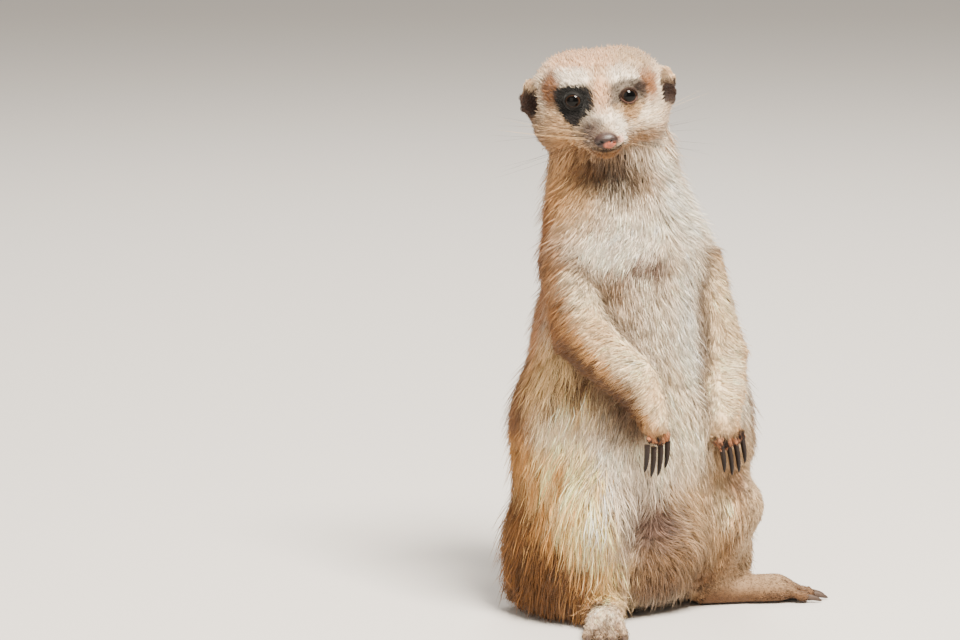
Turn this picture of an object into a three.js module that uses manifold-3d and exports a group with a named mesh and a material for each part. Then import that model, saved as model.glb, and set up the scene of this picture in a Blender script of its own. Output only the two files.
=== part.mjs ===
// A life-size meerkat (Suricata suricatta) sitting upright on its haunches, as a still museum model.
// Millimetres, +Z up. The pelvis faces -Y, the animal's left side is +X, and z = 0 is the floor it sits on.
// The origin is the middle of the flat under the pelvis. The solids reach out to the tips of the coat.
import * as THREE from "three";
import { mergeVertices } from "three/addons/utils/BufferGeometryUtils.js";
import Module from "manifold-3d";

const wasm = await Module();
wasm.setup();

// ---------------------------------------------------------------------------------- driving dimensions
const GAP = 0.35; // clearance between touching pieces
const FILLET_REACH = 4; // how far the trunk may flare out to meet a limb
const EYE_R = 5.2;
const MIDLINE = 9; // how far each haunch stays from the middle of the pelvis
const TOES = 4; // a meerkat has four toes on every foot

const SIDES = { trunk: 24, head: 22, limb: 12, thigh: 16, tail: 10, digit: 5, claw: 5, ball: 10 };

const at = (x, y, z) => new THREE.Vector3(x, y, z);
const degrees = THREE.MathUtils.degToRad;

// Joints of the skeleton, which every other place is measured from.
const HEAD = { place: at(-10.5, 11.5, 241.5), yaw: degrees(-27), roll: degrees(-5.3), pitch: 0 };
const ARM = {
  right: {
    joints: [at(-32, -1, 168), at(-38.5, -21, 139), at(-20, -42, 117), at(-15.5, -49, 98)],
    radii: [16.5, 14, 11.2, 7.4],
  },
  left: {
    joints: [at(31, -6, 166), at(39.2, -18.5, 122), at(34.5, -29.5, 107), at(29.5, -38, 92)],
    radii: [14, 11.6, 9.6, 7.2],
  },
};
const WRIST = 3; // its place among an arm's joints: shoulder, elbow, middle of the forearm, wrist
const HAND = {
  right: { pitch: degrees(6), roll: degrees(-2), yaw: degrees(10) },
  left: { pitch: degrees(4), roll: degrees(-14), yaw: degrees(6) },
};
const LEG = {
  right: { hip: at(-29, 14, 45), knee: at(-35, -31, 60), ankle: at(-22, -14, 12), radii: [16.4, 10.5] },
  left: { hip: at(35, 14, 43), knee: at(46, -16, 48), ankle: at(39, -6, 15), radii: [16.4, 11] },
};
// The ham rests on the floor behind the knee, and the calf lies in front of it.
const HAM = {
  right: { centre: at(-30, 11, 19), radii: at(27, 33, 29) },
  left: { centre: at(45, 17, 21), radii: at(29, 32, 29) },
};
const CALF = {
  right: { top: at(-32, -14, 42), low: at(-27, -14, 12), radii: [19, 17] },
  left: { top: at(32, -14, 42), low: at(25, -4, 13), radii: [17, 12] },
};
const FOOT = {
  right: { heel: at(-21, -13, 0), turn: degrees(-29) },
  left: { heel: at(36, -6, 0), turn: degrees(73) },
};

// ------------------------------------------------------------------------------------------- fields
// A field is negative inside a shape, and about the distance to its surface outside.

const ellipsoid = (centre, radii, turn = new THREE.Euler()) => {
  const back = new THREE.Quaternion().setFromEuler(turn).invert();
  const q = at(0, 0, 0);
  return (p) => {
    q.copy(p).sub(centre).applyQuaternion(back).divide(radii);
    const scaled = q.length();
    return (scaled * (scaled - 1)) / Math.max(q.divide(radii).length(), 1e-6);
  };
};

const cone = (a, b, ra, rb) => {
  const axis = b.clone().sub(a);
  const q = at(0, 0, 0);
  return (p) => {
    const t = THREE.MathUtils.clamp(q.copy(p).sub(a).dot(axis) / axis.lengthSq(), 0, 1);
    return q.copy(a).addScaledVector(axis, t).distanceTo(p) - THREE.MathUtils.lerp(ra, rb, t);
  };
};

const softMin = (a, b, k) => Math.min(a, b) - Math.max(k - Math.abs(a - b), 0) ** 2 / (4 * k);
const blend = (k, ...fields) => (p) => fields.map((f) => f(p)).reduce((a, b) => softMin(a, b, k));
const hollowed = (k, body, tool) => (p) => -softMin(-body(p), tool(p), k);
const onFloor = (field) => (p) => Math.max(field(p), -p.z);
// The body flares out to meet its neighbours, but only by FILLET_REACH, so that it stays one closed tube.
const flared = (k, body, ...others) => (p) => {
  const own = body(p);
  return Math.max([own, ...others.map((f) => f(p))].reduce((a, b) => softMin(a, b, k)), own - FILLET_REACH);
};

// A left field's mirror image in a frame whose X is left.
const mirrored = (field) => {
  const q = at(0, 0, 0);
  return (p) => field(q.set(-p.x, p.y, p.z));
};
const bothSides = (k, field) => blend(k, field, mirrored(field));

// A field written in the frame of a placed object, read in the row frame.
const placedField = (field, object) => {
  object.updateMatrixWorld(true);
  const inverse = object.matrixWorld.clone().invert();
  const q = at(0, 0, 0);
  return (p) => field(q.copy(p).applyMatrix4(inverse));
};

// ------------------------------------------------------------------------------------ surfaces and solids

const STEP = 1.5; // how far a ray moves between samples of its field
const FAR = 120;

// The first place along a ray from inside a field where the field turns positive.
function hit(field, origin, direction) {
  const p = at(0, 0, 0);
  const value = (r) => field(p.copy(origin).addScaledVector(direction, r));
  let far = 0;
  while (value(far) < 0 && far < FAR) far += STEP;
  let near = Math.max(far - STEP, 0);
  for (let i = 0; i < 22; i++) {
    const middle = (near + far) / 2;
    if (value(middle) < 0) near = middle;
    else far = middle;
  }
  const found = origin.clone().addScaledVector(direction, near);
  if (Math.abs(found.z) < 0.01) found.z = 0; // on the floor
  return found;
}

// A closed skin round a spine. Each ring looks out from a point of the spine, square to it, to where the field
// ends. A round end carries on as a fan of rings that tilt towards a pole; a flat end is a plane.
function net(field, spine, { from = 0, to = 1, rings, sides, roundFrom = 0, roundTo = 0, up = at(0, 0, 1) }) {
  const stations = [];
  const station = (t, tilt) => {
    const along = spine.getTangentAt(t).normalize();
    const across = up.clone().cross(along).normalize();
    const over = along.clone().cross(across);
    stations.push({ origin: spine.getPointAt(t), along, across, over, tilt });
  };
  for (let i = roundFrom; i > 0; i--) station(from, -(i * Math.PI) / 2 / (roundFrom + 1));
  for (let i = 0; i <= rings; i++) station(THREE.MathUtils.lerp(from, to, i / rings), 0);
  for (let i = 1; i <= roundTo; i++) station(to, (i * Math.PI) / 2 / (roundTo + 1));

  const points = [];
  for (const s of stations)
    for (let k = 0; k < sides; k++) {
      const angle = (2 * Math.PI * k) / sides;
      const out = s.across.clone().multiplyScalar(Math.cos(angle)).addScaledVector(s.over, Math.sin(angle));
      out.multiplyScalar(Math.cos(s.tilt)).addScaledVector(s.along, Math.sin(s.tilt));
      points.push(hit(field, s.origin, out));
    }
  const first = stations[0];
  const last = stations[stations.length - 1];
  points.push(roundFrom ? hit(field, first.origin, first.along.clone().negate()) : first.origin.clone());
  points.push(roundTo ? hit(field, last.origin, last.along) : last.origin.clone());
  return closedTube(points, stations.length, sides);
}

// Rings of points, then the two poles, as an indexed geometry.
function closedTube(points, rings, sides) {
  const start = rings * sides;
  const faces = [];
  for (let k = 0; k < sides; k++) {
    const next = (k + 1) % sides;
    faces.push(start, next, k);
    const top = (rings - 1) * sides;
    faces.push(start + 1, top + k, top + next);
    for (let r = 0; r + 1 < rings; r++) {
      const [a, b, c, d] = [r * sides + k, r * sides + next, (r + 1) * sides + next, (r + 1) * sides + k];
      const short = points[a].distanceTo(points[c]) < points[b].distanceTo(points[d]);
      faces.push(...(short ? [a, b, c, a, c, d] : [a, b, d, b, c, d]));
    }
  }
  const geometry = new THREE.BufferGeometry().setFromPoints(points);
  geometry.setIndex(faces);
  return geometry;
}

// A round tapering digit or claw along a curve, flat at both ends; a sharp claw's last ring is its point.
function taper(curve, radiusAt, rings, sides, sharp = false) {
  const frames = curve.computeFrenetFrames(rings);
  const points = [];
  for (let i = 0; i < rings + (sharp ? 0 : 1); i++) {
    const centre = curve.getPointAt(i / rings);
    for (let k = 0; k < sides; k++) {
      const angle = (2 * Math.PI * k) / sides;
      const out = frames.normals[i].clone().multiplyScalar(Math.cos(angle));
      out.addScaledVector(frames.binormals[i], Math.sin(angle));
      points.push(centre.clone().addScaledVector(out, radiusAt(i / rings)));
    }
  }
  const count = points.length / sides;
  points.push(curve.getPointAt(0), curve.getPointAt(1));
  return closedTube(points, count, sides);
}

// A geometry as a manifold-3d solid, placed in the row frame. Swelling it moves its surface out by that much.
function solid(geometry, object = new THREE.Object3D(), swell = 0) {
  object.updateMatrixWorld(true);
  const bare = new THREE.BufferGeometry().setAttribute("position", geometry.getAttribute("position").clone());
  if (geometry.index) bare.setIndex(geometry.index.clone());
  const merged = mergeVertices(bare.applyMatrix4(object.matrixWorld), 1e-4);
  const position = merged.attributes.position;
  if (swell) pushOut(position, merged.index.array, swell);
  const vertProperties = new Float32Array(position.array);
  const triVerts = new Uint32Array(merged.index.array);
  if (signedVolume(vertProperties, triVerts) < 0) triVerts.reverse();
  return new wasm.Manifold(new wasm.Mesh({ numProp: 3, vertProperties, triVerts }));
}

// Moves each vertex out far enough that every face round it moves out by at least the given distance.
function pushOut(position, triangles, distance) {
  const outward = signedVolume(position.array, triangles) < 0 ? -1 : 1;
  const around = [...Array(position.count)].map(() => []);
  const corner = (i) => at(0, 0, 0).fromBufferAttribute(position, triangles[i]);
  for (let i = 0; i < triangles.length; i += 3) {
    const first = corner(i);
    const normal = corner(i + 1).sub(first).cross(corner(i + 2).sub(first)).normalize();
    for (const k of [0, 1, 2]) around[triangles[i + k]].push(normal.multiplyScalar(k ? 1 : outward).clone());
  }
  around.forEach((normals, i) => {
    const mean = normals.reduce((a, b) => a.add(b), at(0, 0, 0)).normalize();
    const reach = distance / Math.max(Math.min(...normals.map((n) => n.dot(mean))), 0.45);
    const moved = at(0, 0, 0).fromBufferAttribute(position, i).addScaledVector(mean, reach);
    position.setXYZ(i, moved.x, moved.y, moved.z);
  });
}

function signedVolume(vertices, triangles) {
  const corner = (i) => at(...vertices.subarray(triangles[i] * 3, triangles[i] * 3 + 3));
  let sum = 0;
  for (let i = 0; i < triangles.length; i += 3) sum += corner(i).dot(corner(i + 1).cross(corner(i + 2))) / 6;
  return sum;
}

// The triangles of the largest body in a mesh, so that a crumb left by a cut is no part of the piece.
function largestBody(triangles, vertices) {
  const parent = [...Array(vertices.length / 3).keys()];
  const root = (i) => (parent[i] === i ? i : (parent[i] = root(parent[i])));
  for (let i = 0; i < triangles.length; i += 3)
    for (const k of [1, 2]) parent[root(triangles[i])] = root(triangles[i + k]);
  const bodies = new Map();
  for (let i = 0; i < triangles.length; i += 3) {
    const key = root(triangles[i]);
    if (!bodies.has(key)) bodies.set(key, []);
    bodies.get(key).push(...triangles.subarray(i, i + 3));
  }
  const volume = (body) => signedVolume(vertices, body);
  return [...bodies.values()].reduce((a, b) => (volume(a) > volume(b) ? a : b));
}

function geometryOf(shape) {
  const mesh = shape.getMesh();
  const vertices = new Float32Array(mesh.numVert * 3);
  for (let i = 0; i < mesh.numVert; i++)
    vertices.set(mesh.vertProperties.subarray(i * mesh.numProp, i * mesh.numProp + 3), i * 3);
  const kept = largestBody(mesh.triVerts, vertices);
  const points = kept.flatMap((v) => [...vertices.subarray(v * 3, v * 3 + 3)]);
  const geometry = new THREE.BufferGeometry();
  geometry.setAttribute("position", new THREE.Float32BufferAttribute(points, 3));
  const merged = mergeVertices(geometry, 1e-6);
  merged.computeVertexNormals();
  return merged;
}

const joined = (shapes) => shapes.reduce((a, b) => a.add(b));
const without = (shape, tools) => tools.reduce((a, b) => a.subtract(b), shape);

// ------------------------------------------------------------------------------------------- the head
// In the head's own frame the muzzle points to -Y and the animal's left is +X.

const headFrame = new THREE.Group();
headFrame.position.copy(HEAD.place);
headFrame.rotation.copy(new THREE.Euler(HEAD.pitch, HEAD.roll, HEAD.yaw, "ZYX"));

const EYE = at(12.2, -15.2, 3.4);
const NOSE = at(0, -37.9, -13.6);
const EAR = at(32.5, 2.5, 3.5);

const cranium = ellipsoid(at(0, 7, 0), at(27, 28, 22.5));
const temple = bothSides(4, ellipsoid(at(11.5, 6, 6.5), at(19.5, 22, 18)));
const cheek = bothSides(6, ellipsoid(at(15, 1, -11), at(17.5, 19, 15)));
const brow = bothSides(4, ellipsoid(at(10.5, -13, 9), at(9.5, 8, 6)));
const muzzle = cone(at(0, -14, -5), at(0, -34, -12.5), 12.5, 5.9);
const whiskerPad = bothSides(3, ellipsoid(at(5.2, -30, -14), at(5.8, 8, 5)));
const jaw = cone(at(0, -6, -13), at(0, -29, -18.5), 14, 5.4);
const throat = ellipsoid(at(0, 5, -15), at(25, 21, 13));
const eyeHollow = bothSides(1, ellipsoid(at(13.4, -23, 3), at(5.6, 5, 5.2)));

const skull = blend(7, cranium, temple, cheek, throat);
const face = blend(7, skull, brow, muzzle, jaw);
const headField = hollowed(3.5, blend(2.5, face, whiskerPad), eyeHollow);
const headInRow = placedField(headField, headFrame);

const headSpine = new THREE.QuadraticBezierCurve3(at(0, 12, -1), at(0, -14, -1), at(0, -32, -13.5));
const headSolid = (swell) => {
  const options = { rings: 11, sides: SIDES.head, roundFrom: 4, roundTo: 3 };
  return solid(net(headField, headSpine, options), headFrame, swell);
};

// A ball or a box in the head's frame.
const headBall = (centre, radii, swell) => {
  const shape = new THREE.SphereGeometry(1, SIDES.ball, 7).scale(radii.x, radii.y, radii.z);
  return solid(shape.translate(centre.x, centre.y, centre.z), headFrame, swell);
};

const eyeSolid = (side, swell) => headBall(at(side * EYE.x, EYE.y, EYE.z), at(EYE_R, EYE_R, EYE_R), swell);
const noseSolid = (swell) => headBall(NOSE, at(5.5, 3.4, 3.8), swell);

// The ear is a shallow furred cup, open outwards and forwards.
const EAR_CUP = { radius: 11, depth: 6.5, wall: 2.2, rings: 3, sides: 12, flatten: 0.72 };
const earFrame = (side) => {
  const frame = new THREE.Group();
  frame.position.set(side * EAR.x, EAR.y, EAR.z);
  frame.rotation.copy(new THREE.Euler(degrees(-8), degrees(side * 6), degrees(side * 50), "ZYX"));
  headFrame.add(frame);
  return frame;
};
const earFrames = { right: earFrame(-1), left: earFrame(1) };
const earSolid = (frame, swell) => {
  const { radius, depth, wall, rings, sides, flatten } = EAR_CUP;
  const profile = [];
  const arc = (r, d, start, end) => {
    for (let i = 0; i <= rings; i++) {
      const angle = THREE.MathUtils.lerp(start, end, i / rings);
      profile.push(new THREE.Vector2(r * Math.sin(angle), -d * Math.cos(angle)));
    }
  };
  arc(radius, depth + wall, 0, Math.PI / 2);
  if (swell) profile.push(new THREE.Vector2(0, 0)); // a cutting tool has no hollow
  else arc(radius - wall, depth, Math.PI / 2, 0);
  profile[0].x = 0;
  profile[profile.length - 1].x = 0;
  const cup = new THREE.LatheGeometry(profile, sides).scale(flatten, 1, 1).rotateX(Math.PI);
  return solid(cup, frame, swell);
};

// --------------------------------------------------------------------------------------- trunk and neck

const pelvis = ellipsoid(at(2, 10, 33), at(40, 44, 37));
const back = ellipsoid(at(1, 14, 128), at(42.5, 34, 42));
const rightFlank = ellipsoid(at(-27, 11, 86), at(29, 31, 46));
const leftFlank = ellipsoid(at(37, 7, 84), at(33, 30, 48));
const loin = ellipsoid(at(3, 20, 80), at(46, 34, 52));
const belly = ellipsoid(at(-1, 1, 78), at(38, 44, 52));
const chest = ellipsoid(at(-3, 5, 134), at(38.5, 36, 46));
const shoulders = ellipsoid(at(-0.5, 5, 172), at(43, 30, 29));
const ruff = ellipsoid(at(-1.8, 9.5, 193), at(38.5, 25, 21));
const nape = ellipsoid(at(-0.6, 14.5, 216), at(32, 20, 26));
const scruff = ellipsoid(at(-1, 20.5, 203), at(28, 19, 30));
const masses = [pelvis, back, rightFlank, leftFlank, loin, belly, chest, shoulders, ruff, nape, scruff];
const trunk = onFloor(blend(11, ...masses));

const trunkSpine = new THREE.CatmullRomCurve3([
  at(0, 15, 26),
  at(0, 9, 72),
  at(-1, 10, 120),
  at(-2, 11, 168),
  at(-9, 15, 227),
]);

// ------------------------------------------------------------------------------------------ limb fields

const armFields = Object.fromEntries(
  Object.entries(ARM).map(([side, { joints, radii }]) => [
    side,
    blend(5, ...[0, 1, 2].map((i) => cone(joints[i], joints[i + 1], radii[i], radii[i + 1]))),
  ]),
);
const legFields = Object.fromEntries(
  Object.entries(LEG).map(([side, l]) => {
    const outward = Math.sign(l.hip.x);
    const ham = ellipsoid(HAM[side].centre, HAM[side].radii);
    const calf = cone(CALF[side].top, CALF[side].low, ...CALF[side].radii);
    const whole = onFloor(blend(10, cone(l.hip, l.knee, 28.5, 15.8), ham, calf));
    return [side, { thigh: (p) => Math.max(whole(p), MIDLINE - outward * p.x) }];
  }),
);
for (const [side, l] of Object.entries(LEG)) {
  legFields[side].shin = onFloor(cone(l.knee, l.ankle, ...l.radii));
}

// ------------------------------------------------------------------------------------------ limb solids

const armSpine = (a) => new THREE.CatmullRomCurve3(a.joints);
const ELBOW_AT = (a) => {
  const lengths = [0, 1, 2].map((i) => a.joints[i].distanceTo(a.joints[i + 1]));
  return lengths[0] / (lengths[0] + lengths[1] + lengths[2]);
};

const upperArmSolid = (side, swell) => {
  const a = ARM[side];
  const options = { to: ELBOW_AT(a), rings: 6, sides: SIDES.limb, roundFrom: 3, up: at(0, 1, 0) };
  return solid(net(armFields[side], armSpine(a), options), undefined, swell);
};
const forearmSolid = (side, swell) => {
  const a = ARM[side];
  const options = { from: ELBOW_AT(a) + 0.005, to: 0.985, rings: 5, sides: SIDES.limb, up: at(0, 1, 0) };
  return solid(net(armFields[side], armSpine(a), options), undefined, swell);
};

const thighSolid = (side, swell) => {
  const l = LEG[side];
  const spine = new THREE.LineCurve3(l.hip.clone().setZ(32), l.knee.clone().setZ(l.knee.z - 6));
  const options = { rings: 3, sides: SIDES.thigh, roundFrom: 3, roundTo: 3 };
  return solid(net(legFields[side].thigh, spine, options), undefined, swell);
};
const shinSolid = (side, swell) => {
  const l = LEG[side];
  const options = { rings: 4, sides: SIDES.limb, roundFrom: 3, roundTo: 2, up: at(1, 0, 0) };
  return solid(net(legFields[side].shin, new THREE.LineCurve3(l.knee, l.ankle), options), undefined, swell);
};

// ------------------------------------------------------------------------------------- hands and feet

// In a hand's frame the fingers point to -Z, the palm faces +Y, and the origin is the wrist.
const FINGER = { spacing: 4.1, radius: 1.9, root: -4, tip: -10.5, claw: 15, clawRadius: 1.35 };
const PALM = { centre: at(0, 0, -2.6), radii: at(7.9, 4.5, 4.6), wrist: at(6.7, 6.3, 7) };
// In a foot's frame the toes point to -Y, and the origin is under the heel.
const TOE = { spacing: 4.9, radius: 3.1, root: -38, tip: -54, claw: 8, clawRadius: 1.15 };
const SOLE = { length: 40, heel: 8, heelHeight: 8, ball: at(0, -35, 5.6), ballRadii: at(10.4, 12, 6.4) };

const digitOffset = (n) => n - (TOES - 1) / 2; // -1.5, -0.5, 0.5 and 1.5
const outerness = (n) => Math.abs(digitOffset(n)) - 0.5; // 0 for the two middle digits, 1 for the outer two

const handFrames = {};
const footFrames = {};
for (const side of ["right", "left"]) {
  const hand = (handFrames[side] = new THREE.Group());
  hand.position.copy(ARM[side].joints[WRIST]);
  hand.rotation.copy(new THREE.Euler(HAND[side].pitch, HAND[side].roll, HAND[side].yaw, "ZYX"));
  const foot = (footFrames[side] = new THREE.Group());
  foot.position.copy(FOOT[side].heel);
  foot.rotation.z = FOOT[side].turn;
}

const fingerCurve = (n) => {
  const x = digitOffset(n) * FINGER.spacing;
  const shorter = outerness(n) * 1.6;
  return new THREE.QuadraticBezierCurve3(
    at(x * 0.85, -0.6, FINGER.root + 3),
    at(x, -2.4, FINGER.root - 2 + shorter),
    at(x, -2.8, FINGER.tip + shorter),
  );
};
// A claw starts just past its digit's tip and bends down from the digit's own direction.
const clawCurve = (digit, length, bend) => {
  const along = digit.getTangentAt(1);
  const root = digit.getPointAt(1).addScaledVector(along, GAP);
  return new THREE.QuadraticBezierCurve3(
    root,
    root.clone().addScaledVector(along, length * 0.5),
    root.clone().addScaledVector(along, length * 0.9).addScaledVector(bend, length),
  );
};
const foreclawCurve = (n) => {
  const length = FINGER.claw * (1 - 0.12 * outerness(n));
  return clawCurve(fingerCurve(n), length, at(0, 0.16, 0));
};
const toeCurve = (n) => {
  const x = digitOffset(n) * TOE.spacing;
  const shorter = outerness(n) * 4.5;
  return new THREE.CubicBezierCurve3(
    at(x * 0.9, TOE.root, 6),
    at(x * 1.02, TOE.root - 6 + shorter * 0.5, 8.4),
    at(x * 1.08, TOE.tip + 5 + shorter, TOE.radius * 1.15),
    at(x * 1.12, TOE.tip + shorter, TOE.radius * 0.95),
  );
};
const hindclawCurve = (n) => clawCurve(toeCurve(n), TOE.claw, at(0, 0, -0.16));
const digitRadius = (r) => (t) => r * (1 - 0.14 * t) * (1 - 0.3 * Math.max(0, (t - 0.7) / 0.3));
const clawRadius = (r) => (t) => r * (1 - t ** 2.2);

const palmSpine = new THREE.LineCurve3(at(0, 0, 2.5), at(0, 0, -6));
const palmField = blend(3, ellipsoid(at(0, 0, 2), PALM.wrist), ellipsoid(PALM.centre, PALM.radii));
const handSolid = (side, swell) => {
  const options = { rings: 3, sides: 10, roundFrom: 2, roundTo: 2, up: at(0, 1, 0) };
  const digits = [...Array(TOES).keys()].map((n) =>
    solid(taper(fingerCurve(n), digitRadius(FINGER.radius), 2, SIDES.digit), handFrames[side], swell),
  );
  return joined([solid(net(palmField, palmSpine, options), handFrames[side], swell), ...digits]);
};

const footField = onFloor(
  blend(
    5,
    cone(at(0, 0, SOLE.heelHeight - 1), SOLE.ball, SOLE.heel, 7),
    ellipsoid(SOLE.ball, SOLE.ballRadii),
  ),
);
const footSpine = new THREE.LineCurve3(at(0, 0, 5), at(0, -SOLE.length + 2, 5));
const footSolid = (side, swell) => {
  const options = { rings: 4, sides: SIDES.limb, roundFrom: 2, roundTo: 2 };
  const digits = [...Array(TOES).keys()].map((n) =>
    solid(taper(toeCurve(n), digitRadius(TOE.radius), 3, SIDES.digit), footFrames[side], swell),
  );
  return joined([solid(net(footField, footSpine, options), footFrames[side], swell), ...digits]);
};

const clawSolid = (curve, radius, frame, swell) =>
  solid(taper(curve, clawRadius(radius), 4, SIDES.claw, true), frame, swell);

// -------------------------------------------------------------------------------------------- the tail

const TAIL = { rootRadius: 12, tipRadius: 5, lengths: ["tail_root", "tail_middle", "tail_end", "tail_tip"] };
const tailSpine = new THREE.CatmullRomCurve3([
  at(2, 38, 22),
  at(9, 66, 12.2),
  at(24, 96, 9.8),
  at(46, 124, 8.6),
  at(76, 145, 7.4),
  at(108, 154, 6.2),
]);
const tailRadius = (t) => THREE.MathUtils.lerp(TAIL.rootRadius, TAIL.tipRadius, t ** 0.8);
const TAIL_SAMPLES = 60;
const tailPoints = [...Array(TAIL_SAMPLES + 1).keys()].map((i) => tailSpine.getPointAt(i / TAIL_SAMPLES));
const tailField = (p) =>
  Math.min(...tailPoints.map((centre, i) => centre.distanceTo(p) - tailRadius(i / TAIL_SAMPLES)));
const tailSolid = (index, swell) => {
  const count = TAIL.lengths.length;
  const options = {
    from: index / count + (index ? 0.001 : 0),
    to: (index + 1) / count - 0.001,
    rings: 4,
    sides: SIDES.tail,
    roundTo: index === count - 1 ? 3 : 0,
  };
  return solid(net(onFloor(tailField), tailSpine, options), undefined, swell);
};

// --------------------------------------------------------------------------------------- the whole animal

const COLOURS = {
  coat: 0xc9b08a,
  pale: 0xd8ccb6,
  brown: 0xa98458,
  dark: 0x2b211c,
  claw: 0x2a2523,
  eye: 0x120c09,
};
const materials = Object.fromEntries(
  Object.entries(COLOURS).map(([name, color]) => {
    const roughness = { eye: 0.1, claw: 0.45 }[name] ?? 0.9;
    return [name, new THREE.MeshStandardMaterial({ color, roughness, metalness: 0 })];
  }),
);

const animal = new THREE.Group();
const add = (name, shape, material) => {
  const mesh = new THREE.Mesh(geometryOf(shape), materials[material]);
  mesh.name = name;
  animal.add(mesh);
};

const sides = ["right", "left"];
const sign = { right: -1, left: 1 };
const digits = [...Array(TOES).keys()];

const foreclaw = (side, n, swell) => clawSolid(foreclawCurve(n), FINGER.clawRadius, handFrames[side], swell);
const hindclaw = (side, n, swell) => clawSolid(hindclawCurve(n), TOE.clawRadius, footFrames[side], swell);

// The trunk and neck are four lengths of one tube. Every other piece is cut back from the one it grows from.
const trunkField = onFloor(
  flared(9, trunk, headInRow, ...Object.values(armFields), ...Object.values(legFields).map((l) => l.thigh)),
);
const EDGE = 0.0008; // half a thin cut across the trunk, as a share of its length
const TRUNK_PIECES = [
  { name: "rump", from: 0, to: 0.24, rings: 4, roundFrom: 5, material: "brown" },
  { name: "abdomen", from: 0.24, to: 0.5, rings: 6, material: "pale" },
  { name: "thorax", from: 0.5, to: 0.77, rings: 6, material: "coat" },
  { name: "neck", from: 0.77, to: 1, rings: 5, roundTo: 2, material: "coat" },
];
const trunkCuts = [];
for (const { name, from, to, material, ...shape } of TRUNK_PIECES) {
  const ends = { from: from ? from + EDGE : 0, to: to < 1 ? to - EDGE : 1 };
  const geometry = net(trunkField, trunkSpine, { sides: SIDES.trunk, up: at(0, 1, 0), ...ends, ...shape });
  add(name, solid(geometry), material);
  trunkCuts.push(solid(geometry, undefined, GAP));
}

const jawBox = (swell) => {
  const box = new THREE.BoxGeometry(40 + swell, 32 + swell, 16 + swell);
  box.rotateX(degrees(8)).translate(0, -31 - swell / 2, -26.8 + swell / 2);
  return solid(box, headFrame);
};
const wholeHead = without(headSolid(0), [
  ...trunkCuts.slice(3),
  noseSolid(GAP),
  ...sides.map((side) => eyeSolid(sign[side], GAP)),
  ...sides.map((side) => earSolid(earFrames[side], GAP)),
]);
add("head", wholeHead.subtract(jawBox(GAP)), "coat");
add("jaw", wholeHead.intersect(jawBox(0)), "pale");
add("nose", noseSolid(0), "dark");

for (const side of sides) {
  add(`eye_${side}`, eyeSolid(sign[side], 0), "eye");
  add(`ear_${side}`, earSolid(earFrames[side], 0), "dark");

  add(`upper_arm_${side}`, without(upperArmSolid(side, 0), trunkCuts), "coat");
  add(`forearm_${side}`, without(forearmSolid(side, 0), [...trunkCuts, handSolid(side, GAP)]), "coat");
  add(`hand_${side}`, without(handSolid(side, 0), trunkCuts), "coat");

  add(`thigh_${side}`, without(thighSolid(side, 0), [...trunkCuts, shinSolid(side, GAP)]), "brown");
  add(`shin_${side}`, without(shinSolid(side, 0), trunkCuts), "coat");
  add(`foot_${side}`, without(footSolid(side, 0), [shinSolid(side, GAP), thighSolid(side, GAP)]), "pale");

  for (const n of digits) {
    add(`foreclaw_${side}_${n + 1}`, foreclaw(side, n, 0), "claw");
    add(`hindclaw_${side}_${n + 1}`, hindclaw(side, n, 0), "claw");
  }
}

TAIL.lengths.forEach((name, index) => {
  const cuts = index ? [] : [trunkCuts[0], ...sides.map((side) => thighSolid(side, GAP))];
  add(name, without(tailSolid(index, 0), cuts), index === TAIL.lengths.length - 1 ? "dark" : "brown");
});

export default animal;
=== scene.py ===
"""The looks of a seated meerkat: one skin over the body, its coat of fur, eyes, nose, claws and whiskers.

Shapes are worked out in millimetres in the row frame, and scaled to Blender's metres when a mesh is made.
"""

import math

import bmesh
import bpy
import numpy as np
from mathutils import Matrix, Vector
from mathutils.bvhtree import BVHTree
from mathutils.kdtree import KDTree


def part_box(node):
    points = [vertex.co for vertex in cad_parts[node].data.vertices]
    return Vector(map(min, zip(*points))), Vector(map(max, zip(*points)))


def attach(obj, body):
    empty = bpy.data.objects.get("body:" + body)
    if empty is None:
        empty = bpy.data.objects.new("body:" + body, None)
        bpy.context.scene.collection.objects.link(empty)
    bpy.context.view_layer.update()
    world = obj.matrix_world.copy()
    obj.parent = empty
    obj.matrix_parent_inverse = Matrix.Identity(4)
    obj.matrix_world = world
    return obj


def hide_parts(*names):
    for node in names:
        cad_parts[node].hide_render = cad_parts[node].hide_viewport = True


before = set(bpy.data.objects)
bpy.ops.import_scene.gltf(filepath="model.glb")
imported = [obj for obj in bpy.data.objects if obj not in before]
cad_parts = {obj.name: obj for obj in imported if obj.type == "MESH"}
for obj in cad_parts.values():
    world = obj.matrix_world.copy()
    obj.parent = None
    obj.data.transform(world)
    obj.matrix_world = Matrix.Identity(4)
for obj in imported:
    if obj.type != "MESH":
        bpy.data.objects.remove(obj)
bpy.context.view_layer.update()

MM = 0.001
UP = np.array([0.0, 0.0, 1.0])
DOWN = -UP
SEED = 7
# Where the line of the spine stands, seen from above.
SPINE = (-2.0, 10.0)

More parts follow.
